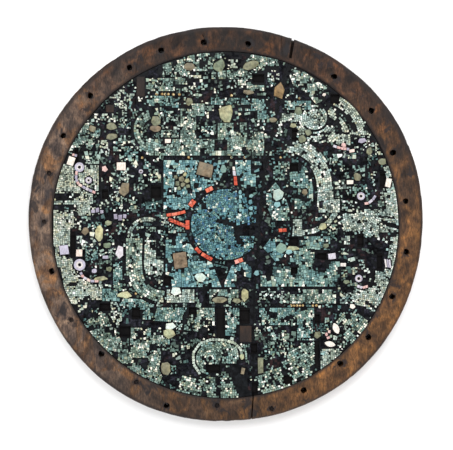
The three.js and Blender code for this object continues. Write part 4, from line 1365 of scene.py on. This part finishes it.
# %% Places of the patches
# Each is its left, lower, right and upper edge, the share of tiles left, and the kind of stone.
LOOSE_PATCHES = [
    (-93, 100, -84, 107, 0.6, "w"), (-85, 103, -81, 107, 0.8, "w"), (-83, 98, -76, 104, 0.6, "w"),
    (-87, 92, -80, 100, 0.6, "w"), (-83, 80, -79, 95, 0.7, "w"), (-77, 100, -73, 104, 0.7, "w"),
    (-105, 81, -88, 88, 0.6, "p"), (-102, 60, -94, 67, 0.8, "w"), (-100, 54, -93, 60, 0.7, "p"),
    (-109, 52, -100, 58, 0.8, "g"), (-107, 48, -101, 53, 0.8, "g"), (-90, 58, -80, 66, 0.7, "g"),
    (-86, 66, -80, 71, 0.9, "g"), (-81, 50, -70, 62, 0.8, "b"), (-80, 76, -76, 84, 0.8, "b"),
    (-76, 84, -70, 92, 0.8, "g"), (-86, 76, -78, 80, 0.8, "g"), (-93, 34, -84, 41, 0.9, "g"),
    (-92, 28, -86, 34, 0.8, "g"), (-84, 16, -79, 24, 0.7, "g"), (-79, 9, -69, 15, 0.8, "g"),
    (-66, 12, -56, 18, 0.8, "b"), (-70, 33, -52, 40, 0.8, "g"), (-62, 39, -54, 44, 0.8, "t"),
    (-90, 10, -80, 14, 0.7, "t"), (-90, 3, -80, 9, 0.7, "g"), (-97, -2, -90, 3, 0.8, "t"),
    (-107, -4, -100, 2, 0.8, "b"), (-101, 12, -93, 18, 0.8, "p"), (-66, 44, -60, 50, 0.8, "b"),
    (-30, 116, -20, 118.5, 0.9, "w"), (-30, 105, -19, 110, 0.8, "g"), (-10, 104, -3, 111, 0.8, "g"),
    (-40, 104, -34, 108, 0.8, "g"), (-34, 105, -27, 109, 0.8, "p"), (-34, 94, -27, 101, 0.7, "t"),
    (-17, 90, -10, 97, 0.8, "g"), (-62, 79, -52, 86, 0.7, "g"), (-62, 74, -50, 79, 0.7, "t"),
    (-48, 81, -42, 90, 0.8, "g"), (-52, 69, -38, 75, 0.9, "g"), (-24, 84, -14, 94, 0.7, "g"),
    (-20, 71, -10, 78, 0.8, "b"), (-88, -8, -80, 2, 0.7, "g"), (-96, -19, -89, -12, 0.8, "g"),
    (-119, -15, -110, -9, 0.8, "p"), (-112, -29, -102, -17, 0.9, "b"), (-89, -50, -84, -43, 0.8, "g"),
    (-118, -70, -106, -62, 0.4, "w"), (-92, -70, -80, -60, 0.6, "p"), (-92, -80, -83, -70, 0.6, "w"),
    (-45, -119, -40, -112, 0.9, "b"), (-36, -100, -29, -93, 0.8, "t"), (-40, -84, -24, -78, 0.6, "g"),
    (-64, -6, -56, -2, 0.9, "g"), (-52, -1, -44, 6, 0.7, "p"), (-46, -7, -34, 0, 0.7, "b"),
    (-38, 3, -32, 8, 0.8, "b"), (1, 124, 9, 131, 0.8, "w"), (34, 112, 42, 120, 0.35, "w"),
    (33, 80, 38, 86, 0.8, "t"), (31, 54.5, 36, 58, 0.9, "g"), (37, 35, 48, 50, 0.8, "b"),
    (45, 44, 50, 50, 0.8, "g"), (20, 47, 28, 50, 0.8, "b"), (28, 47, 44, 50, 0.4, "b"),
    (84, 47, 92, 56, 0.7, "g"), (90, 42, 94, 47, 0.8, "g"), (95, 52, 103, 58, 0.8, "g"),
    (100, 38, 110, 47, 0.8, "g"), (86, 28, 95, 34, 0.7, "p"), (94, 26, 99, 30, 0.8, "p"),
    (100, 22, 114, 32, 0.6, "b"), (86, 18, 92, 28, 0.7, "g"), (92, 14, 104, 19, 0.4, "p"),
    (112, 54, 116, 64, 0.7, "g"), (118, 55, 124, 66, 0.7, "w"), (122, 20, 136, 27, 0.8, "p"),
    (90, 4, 104, 14, 0.8, "p"), (78, 2, 84, 9, 0.7, "g"), (84, 0, 92, 10, 0.6, "g"),
    (86, 58, 104, 62, 0.6, "w"), (91, -24, 97, -19, 0.8, "g"), (91, -16, 98, -9, 0.8, "p"),
    (105, -9, 112, -4, 0.8, "p"), (80, -8, 88, 0, 0.7, "g"), (91, -42, 96, -36, 0.8, "g"),
    (103, -36, 110, -28, 0.4, "p"), (100, -40, 104, -34, 0.8, "t"), (95, -49, 104, -44, 0.8, "g"),
    (90, -63, 99, -54, 0.7, "p"), (26, -60, 46, -53, 0.6, "p"), (46, -62, 51, -55, 0.8, "g"),
    (76, -66, 84, -60, 0.7, "b"), (78, -92, 84, -74, 0.5, "g"), (88, -98, 100, -90, 0.7, "g"),
    (35, -92, 50, -84, 0.7, "g"), (29, -85, 35, -80, 0.8, "p"), (56, -92, 68, -84, 0.7, "b"),
    (30, -105, 42, -96, 0.8, "b"), (41, -104, 50, -98, 0.7, "g"), (12, -122, 18, -108, 0.8, "g"),
]
# Wider areas that are thinned by noise: their edges, how thinly tiles lie, and the kinds found there.
THINNED_AREAS = [
    (-138, 0, -50, 138, 0.16, "ddgpkt"), (-50, 66, 66, 138, 0.21, "ddgpt"), (66, 60, 138, 138, 0.26, "dgp"),
    (-50, -50, 80, 66, 0.3, "kkdb"), (80, -60, 138, 60, 0.22, "ddpgk"), (-138, -60, -50, 0, 0.18, "ddgp"),
    (-138, -138, 0, -60, 0.14, "ddgpk"), (0, -138, 138, -60, 0.14, "ddgpk"),
]
# Each kind's stone, and how its tones are scaled and shifted.
STONE_KINDS = {
    "w": (WHITE, 0.8, 0.2), "p": (PALE, 1.0, 0.0), "g": (GREEN, 1.0, 0.0), "b": (TEAL, 1.0, 0.0),
    "t": (GREEN, 0.7, 0.3), "d": (GREEN, 0.26, 0.0), "k": (TEAL, 0.22, 0.0),
}
print(len(LOOSE_PATCHES), "patches and", len(THINNED_AREAS), "wider areas")

# %% [markdown]
# A patch is a flat rectangle that is cut into tiles as a field is. Then every tile that doesn't fit
# on bare resin goes, and as many more as have been lost.

# %% Patches of loose tiles
chance = random.Random(21)
loose = bmesh.new()
loose.verts.layers.float.new("tone")


def add_loose(patch, kind):
    """Gives a patch's tiles their tones and adds them to the rest."""
    stone, scale, shift = STONE_KINDS[kind]
    give_tones(patch, chance)
    patch_tone = patch.verts.layers.float["tone"]
    for v in patch.verts:
        v[patch_tone] = v[patch_tone] * scale + shift
    add_copy(loose, patch, stone)


def face_fits(face):
    """True, once, where a face of a patch fits as a loose tile."""
    return fits(face.calc_center_median(), math.sqrt(face.calc_area()) / 2)


for left, lower, right, upper, share_left, kind in LOOSE_PATCHES:
    patch = bmesh.new()
    middle = at((left + right) / 2, (lower + upper) / 2, tile_top)
    lay_square(patch, middle, 0, (right - left) * mm / 2, (upper - lower) * mm / 2)
    size = chance.uniform(1.7, 2.3) * mm
    patch = snap_field(patch, size, chance, chance.uniform(-0.5, 0.5), 0.3, 0.16)
    drop(patch, lambda face: chance.random() > share_left or not face_fits(face))
    add_loose(patch, kind)
print(len(loose.faces), "tiles in the patches")

# %% [markdown]
# Over the wider areas tiles are left in clusters that no rectangle would fit. Blocks of ground are
# cut into tiles, each block turned a little, and noise keeps a tile only where it runs high. Now
# and then a single one is left all the same.

# %% Clusters of loose tiles
BLOCK = 17
HALF_BLOCK = BLOCK * 0.56 * mm
LEFT_OVER = 0.03


def is_thinned(face):
    """True where a tile of the block that is being made is lost or doesn't fit."""
    place = face.calc_center_median()
    cluster = noise.noise(place * 150) + 0.6 * noise.noise(place * 420)
    return (cluster < limit and chance.random() > LEFT_OVER) or not face_fits(face)


for left, lower, right, upper, thinness, kinds in THINNED_AREAS:
    for x in range(left, right, BLOCK):
        for y in range(lower, upper, BLOCK):
            if math.hypot(x + BLOCK / 2, y + BLOCK / 2) > FIELD_RADIUS / mm + 5:
                continue
            patch = bmesh.new()
            middle = at(x + BLOCK / 2, y + BLOCK / 2, tile_top)
            lay_square(patch, middle, chance.uniform(-0.4, 0.4), HALF_BLOCK, HALF_BLOCK)
            size = chance.uniform(1.7, 2.7) * mm
            patch = snap_field(patch, size, chance, chance.uniform(-0.4, 0.4), 0.3, 0.16)
            limit = thinness + chance.uniform(-0.12, 0.12)
            drop(patch, is_thinned)
            add_loose(patch, chance.choice(kinds))
print(len(loose.faces), "tiles with the clusters")

# %% [markdown]
# Last come single tiles beside the fields, which have slipped a little or were set askew. Random
# places are tried, and those next to a sheet of tiles are kept where a tile fits.

# %% Single tiles beside the fields
NEAR_A_SHEET = 2.4 * mm
TRIES = 700
WHOLE_FACE = 135


def at_an_edge(place):
    """True next to a sheet of tiles, but not in a groove between two sheets."""
    high = [level_under(place + way * NEAR_A_SHEET) > tile_top - mm for way in COMPASS]
    return any(high) and not any(high[i] and high[i + 4] for i in range(4))


for kind in "bgpd":
    patch = bmesh.new()
    for _ in range(TRIES):
        x, y = chance.uniform(-WHOLE_FACE, WHOLE_FACE), chance.uniform(-WHOLE_FACE, WHOLE_FACE)
        place, room = at(x, y, tile_top), chance.uniform(0.7, 1.1) * mm
        if at_an_edge(place) and fits(place, room):
            lay_square(patch, place, chance.uniform(0, math.pi), room, room * chance.uniform(0.75, 1))
    add_loose(patch, kind)
raise_solids(loose, TILE_JOINT, tile_top - 0.25 * mm, chance, 0.12 * mm, 0.09, TILE_CHAMFER)
make_piece("loose_tiles", loose, STONES)

# %% [markdown]
# Where tiles have gone the resin keeps their imprints, a rough ground of little pits and ridges. A
# grid of cells, bent and jittered so that it never reads as a grid, is thinned and raised by
# different small amounts. Vector noise starts from the clock unless it has a seed, so it gets one.

# %% The rough ground of the resin
GROUND_CELLS = 146
GROUND_GAPS = 0.34
CELL_SHIFT = 0.4
chance = random.Random(8)
noise.seed_set(8)
ground = bmesh.new()
ground.verts.layers.float.new("tone")
here = Matrix.Translation(Vector((field_centre.x, field_centre.y, resin_top)))
bmesh.ops.create_grid(
    ground, x_segments=GROUND_CELLS, y_segments=GROUND_CELLS, size=FIELD_RADIUS, matrix=here
)
for v in ground.verts:
    bend = noise.noise_vector(v.co * 26) * 3.2 * mm
    v.co.x += bend.x + chance.uniform(-CELL_SHIFT, CELL_SHIFT) * mm
    v.co.y += bend.y + chance.uniform(-CELL_SHIFT, CELL_SHIFT) * mm
drop(ground, lambda f: chance.random() < GROUND_GAPS or not on_bare_resin(f.calc_center_median(), 0.85 * mm))
part_by_a_joint(ground, 0.16 * mm)
for face in raise_copies(ground, resin_top - 0.1 * mm):
    height = 0.1 + 0.55 * chance.random() ** 2
    for v in face.verts:
        v.co.z = resin_top + (height + chance.uniform(-0.06, 0.1)) * mm
make_piece("resin_ground", ground, [dusty_resin])

# %% [markdown]
# The larger stones, the slabs, the shell blocks and the little bits of the strips are single cut and
# polished pieces. Each is a flat outline with its own number of sides, a little uneven, raised and
# rounded over in two small steps.

# %% Larger stones, slabs, shell blocks and strips


def lay_outline(bm, x, y, width, height, turn, sides, value, chance):
    """Adds one flat outline with its tone."""
    tone = bm.verts.layers.float["tone"]
    matrix = (
        Matrix.Translation(at(x, y))
        @ Matrix.Rotation(math.radians(turn), 4, "Z")
        @ Matrix.Diagonal((width * mm, height * mm, 1, 1))
        @ Matrix.Rotation(math.pi / sides, 4, "Z")
    )
    radius = 0.5 / math.cos(math.pi / sides)
    uneven = 0.05 if sides == 4 else 0.11
    outline = bmesh.ops.create_circle(bm, cap_ends=True, segments=sides, radius=radius, matrix=matrix)
    for v in outline["verts"]:
        v.co.x += chance.uniform(-uneven, uneven) * width * mm
        v.co.y += chance.uniform(-uneven, uneven) * height * mm
        v[tone] = value


def polished_blocks(name, outlines, sunk, rounding, finish, seed):
    """Makes a piece of many single blocks. How far they sink and are rounded is in millimetres."""
    chance = random.Random(seed)
    blocks = bmesh.new()
    blocks.verts.layers.float.new("tone")
    for outline in outlines:
        lay_outline(blocks, *outline, chance)
    bmesh.ops.reverse_faces(blocks, faces=[f for f in blocks.faces if f.normal.z < 0])
    upper = raise_solids(blocks, 0.1 * mm, tile_top - sunk * mm, chance, 0.05 * mm, 0.015, rounding * mm)
    bmesh.ops.inset_individual(blocks, faces=upper, thickness=rounding * mm, depth=rounding * mm * 0.25)
    make_piece(name, blocks, [finish], smooth=SMOOTH_STONE)


SMOOTH_STONE = 35
polished_blocks("large_stones", LARGE_STONES, 0.35, 0.4, coloured_stone, 5)
polished_blocks("blue_slabs", BLUE_SLABS, 0.3, 0.3, STONES[BLUE], 12)
polished_blocks("cream_row", cream_bits, 0.3, 0.25, STONES[WHITE], 9)
polished_blocks("shell_blocks", SHELL_BLOCKS, 0.25, 0.32, pale_shell, 6)
polished_blocks("pink_strips", strip_bits, 0.2, 0.2, pale_shell, 7)

# %% [markdown]
# The red shell of the sun's ring and rays is set in short lengths, so each solid is cut across like
# the stone, only into longer bits. The white ray and the two leaf-shaped shells are made in the
# same way, and the leaves stay whole.

# %% Red and white shell of the ring and rays
SHELL_ROUNDING = 0.25 * mm
RED_NODES = [
    "ring_shell_left", "ring_shell_top", "ring_shell_lower_left_1", "ring_shell_lower_left_2",
    "ring_shell_bottom", "left_ray_upper_shell", "left_ray_lower_shell", "top_ray_shell", "right_ray_shell",
]
# The middle tone of each one that isn't the usual one.
USUAL_TONE = 0.3
RED_TONES = {
    "ring_shell_bottom": 1.0, "ring_shell_top": 0.5, "ring_shell_left": 0.6, "left_ray_upper_shell": 0.6,
    "left_ray_lower_shell": 0.46, "ring_shell_lower_left_2": 0.42,
}


def set_shell(name, nodes, size, finish, tones, seed):
    """Makes one piece of shell bits from the tops of some solids."""
    chance = random.Random(seed)
    shell = bmesh.new()
    shell.verts.layers.float.new("tone")
    for node in nodes:
        sheet = flat_top(node)
        snap_into_tiles(sheet, size * mm, chance, 0.5 if "ring" in node else 0.1, 0.12, 0)
        tone = sheet.verts.layers.float.new("tone")
        for face in sheet.faces:
            value = tones.get(node, USUAL_TONE) + chance.uniform(-0.28, 0.28)
            for v in face.verts:
                v[tone] = value
        add_copy(shell, sheet, 0)
    upper = raise_solids(shell, 0.24 * mm, shell_top - 0.5 * mm, chance, 0.04 * mm, 0.02, SHELL_ROUNDING)
    bmesh.ops.inset_individual(shell, faces=upper, thickness=SHELL_ROUNDING, depth=0.06 * mm)
    make_piece(name, shell, [finish], nodes, SMOOTH_STONE)


WHITE_TONES = {"top_ray_white_shell": 0.5, "almond_shell_upper": 0.34}
LEAVES = ["almond_shell_upper", "almond_shell_lower"]
set_shell("red_shell_bits", RED_NODES, 3.6, red_shell, RED_TONES, 31)
set_shell("white_ray_shell", ["top_ray_white_shell"], 5.0, pale_shell, WHITE_TONES, 32)
set_shell("almond_shells", LEAVES, 40, pale_shell, WHITE_TONES, 33)

# %% [markdown]
# The eyes of the side figures are shell rings turned on a simple drill, white inside and lavender
# outside, with a fine groove between. A spin of the ring's section makes each one.

# %% Shell rings
RING_STEPS = 28
WHITE_PART, LAVENDER_PART = 0.6, 0.78
rings = bmesh.new()
ring_tone = rings.verts.layers.float.new("tone")


def turned_ring(centre, hole, outer, top):
    """Spins a ring's section about its middle and gives its two shades."""
    groove = hole + (outer - hole) * 0.45
    base = resin_top - 0.1 * mm
    section = [
        (hole, base), (hole, top - 0.5 * mm), (hole + 0.25 * mm, top - 0.1 * mm), (groove - 0.35 * mm, top),
        (groove, top - 0.3 * mm), (groove + 0.3 * mm, top - 0.05 * mm), (outer - 0.5 * mm, top - 0.05 * mm),
        (outer - 0.1 * mm, top - 0.4 * mm), (outer, base),
    ]
    corners = [rings.verts.new(centre + Vector((r, 0, z))) for r, z in section]
    edges = [rings.edges.new((corners[i - 1], corners[i])) for i in range(len(corners))]
    before = set(rings.verts) - set(corners)
    bmesh.ops.spin(
        rings,
        geom=corners + edges,
        axis=(0, 0, 1),
        cent=centre,
        angle=2 * math.pi,
        steps=RING_STEPS,
        use_merge=True,
    )
    for v in set(rings.verts) - before:
        v[ring_tone] = WHITE_PART if (v.co - centre).xy.length < groove else LAVENDER_PART


# The radius of each eye's hole in millimetres.
EYES = {"upper_left_eye": 1.2, "lower_left_eye": 1.3, "upper_right_eye": 1.1, "lower_right_eye": 1.2}
for node, hole in EYES.items():
    low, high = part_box(node)
    middle = (low + high) / 2
    turned_ring(Vector((middle.x, middle.y, 0)), hole * mm, (high.x - low.x) / 2, shell_top - 0.05 * mm)
for x, y, width, _height, _turn, _sides, _tone in SMALL_RINGS:
    turned_ring(at(x, y), width * 0.16 * mm, width / 2 * mm, tile_top)
make_piece("shell_rings", rings, [pale_shell], EYES, SMOOTH_STONE)

# %% [markdown]
# The frame's grooves hold rows of round beads of resin. A few are still gilded, and the rest are
# bare and dark. They are tiny, so a coarse ball is enough for each.

# %% Gold and dark beads
GOLD_BEADS = [
    (-55.4, 103.5), (-51.2, 103.5), (-48.7, 103.3), (-46.2, 103.4), (-42.2, 103.2), (-37.4, 103.2),
    (4, 102.4), (58, 100.2), (-76, 53.4), (-67, 53), (-30, 53.2), (4, 53.2), (14.6, 53.2), (43, 53.2),
    (-72, -55),
    (51.4, -64.4), (53.7, -64.6), (56, -64.4), (58.3, -64.6), (60.6, -64.4), (68.6, -64.5), (71.4, -64.4),
]
# The line of each groove, as the points that it runs through.
BEADED_GROOVES = [
    [(-66, 104), (-20, 103), (62, 100)],
    [(-73, 53.2), (48, 53.2), (57, 51.5), (64, 46.5), (69, 37), (71, 25), (70, 12)],
    [(-52, 9.4), (-70, 9), (-77, 4), (-81, -6), (-81.5, -38), (-77, -50), (-68, -58)],
    [(-60, -61.5), (-48, -63.6), (10, -64.6), (90, -64.2)],
]
SMOOTH_BEAD = 60
CLEAR_OF_GOLD = 2
gold_beads, dark_beads = bmesh.new(), bmesh.new()


def lay_bead(bm, place, radius, subdivisions):
    """Adds one bead."""
    bmesh.ops.create_icosphere(
        bm, subdivisions=subdivisions, radius=radius * mm, matrix=Matrix.Translation(place)
    )


for x, y in GOLD_BEADS:
    lay_bead(gold_beads, at(x, y, resin_top + 0.35 * mm), chance.uniform(0.95, 1.2), 2)
for groove in BEADED_GROOVES:
    for x, y, *_rest in bits_along(groove, 2.5, 2, chance):
        place = at(x, y, resin_top + 0.1 * mm)
        nearest = min(math.dist((x, y), bead) for bead in GOLD_BEADS)
        if on_bare_resin(place, 0.8 * mm) and nearest > CLEAR_OF_GOLD:
            lay_bead(dark_beads, place, chance.uniform(0.7, 0.95), 1)
make_piece("gold_beads", gold_beads, [gold], smooth=SMOOTH_BEAD)
make_piece("resin_beads", dark_beads, [resin], smooth=SMOOTH_BEAD)

# %% [markdown]
# The resin bed's own shape is right as the frame has it, so it stays and only gets its finish.

# %% Finish the resin bed
solids["resin_bed"].data.materials.clear()
solids["resin_bed"].data.materials.append(resin)
print(solids["resin_bed"].name, "keeps its shape and is now", resin.name)

# %% [markdown]
# The floor is plain white paper. A large soft light stands beyond the top of the shield, as in the
# photograph, where the only shadow is a soft grey one just below the lower edge. Two weaker lights
# and the sky fill in from the other sides.

# %% Floor and lights
floor_sheet = bmesh.new()
bmesh.ops.create_grid(floor_sheet, x_segments=4, y_segments=4, size=3)
floor_mesh = bpy.data.meshes.new("studio_floor")
floor_sheet.to_mesh(floor_mesh)
floor_sheet.free()
studio_floor = bpy.data.objects.new("studio_floor", floor_mesh)
bpy.context.scene.collection.objects.link(studio_floor)
floor_finish, tree, shader, place = new_finish("white_paper", 0.9, 0.1)
shader.inputs["Base Color"].default_value = (0.88, 0.88, 0.88, 1)
floor_mesh.materials.append(floor_finish)


def soft_light(name, place, size, power):
    """A square soft light that faces the shield."""
    lamp = bpy.data.lights.new(name, "AREA")
    lamp.size, lamp.energy = size, power
    light = bpy.data.objects.new(name, lamp)
    light.location = place
    light.rotation_euler = (-Vector(place)).to_track_quat("-Z", "Y").to_euler()
    bpy.context.scene.collection.objects.link(light)


soft_light("key_light", (0.14, 1.0, 1.45), 1.4, 31.5)
soft_light("left_light", (-1.1, 0.2, 1.5), 1.3, 8)
soft_light("lower_light", (0.5, -1.3, 1.2), 1.2, 16.5)
world = bpy.data.worlds.new("studio")
bpy.context.scene.world = world
world.use_nodes = True
tree = world.node_tree
# The studio's ceiling above the camera is dim, so that the flat face doesn't mirror it.
sky = add_node(tree, "ShaderNodeTexCoord").outputs["Generated"]
sky_height = add_node(tree, "ShaderNodeSeparateXYZ", {"Vector": sky}).outputs["Z"]
tree.links.new(between(tree, sky_height, 0.35, 0.85, 1.06, 0.34), tree.nodes["Background"].inputs["Strength"])
tree.nodes["Background"].inputs["Color"].default_value = (1, 1, 1, 1)
print(len(bpy.data.lights), "lights and a sky")

# %% [markdown]
# The camera looks straight down. Its distance follows from how wide the photograph is, how much of
# the shield one of its pixels covers, and the lens.

# %% Camera
PHOTO_WIDTH = 453
MM_PER_PIXEL = 0.794
LENS = 110
camera_data = bpy.data.cameras.new("camera")
camera_data.lens = LENS
camera = bpy.data.objects.new("camera", camera_data)
bpy.context.scene.collection.objects.link(camera)
frame_width = PHOTO_WIDTH * MM_PER_PIXEL * mm
distance = frame_width * LENS / camera_data.sensor_width
camera.location = (sun.x, sun.y - 0.5 * mm, rim_top + distance)
bpy.context.scene.camera = camera
bpy.context.scene.view_settings.view_transform = "Standard"
print("camera", round(distance, 3), "m above the face")
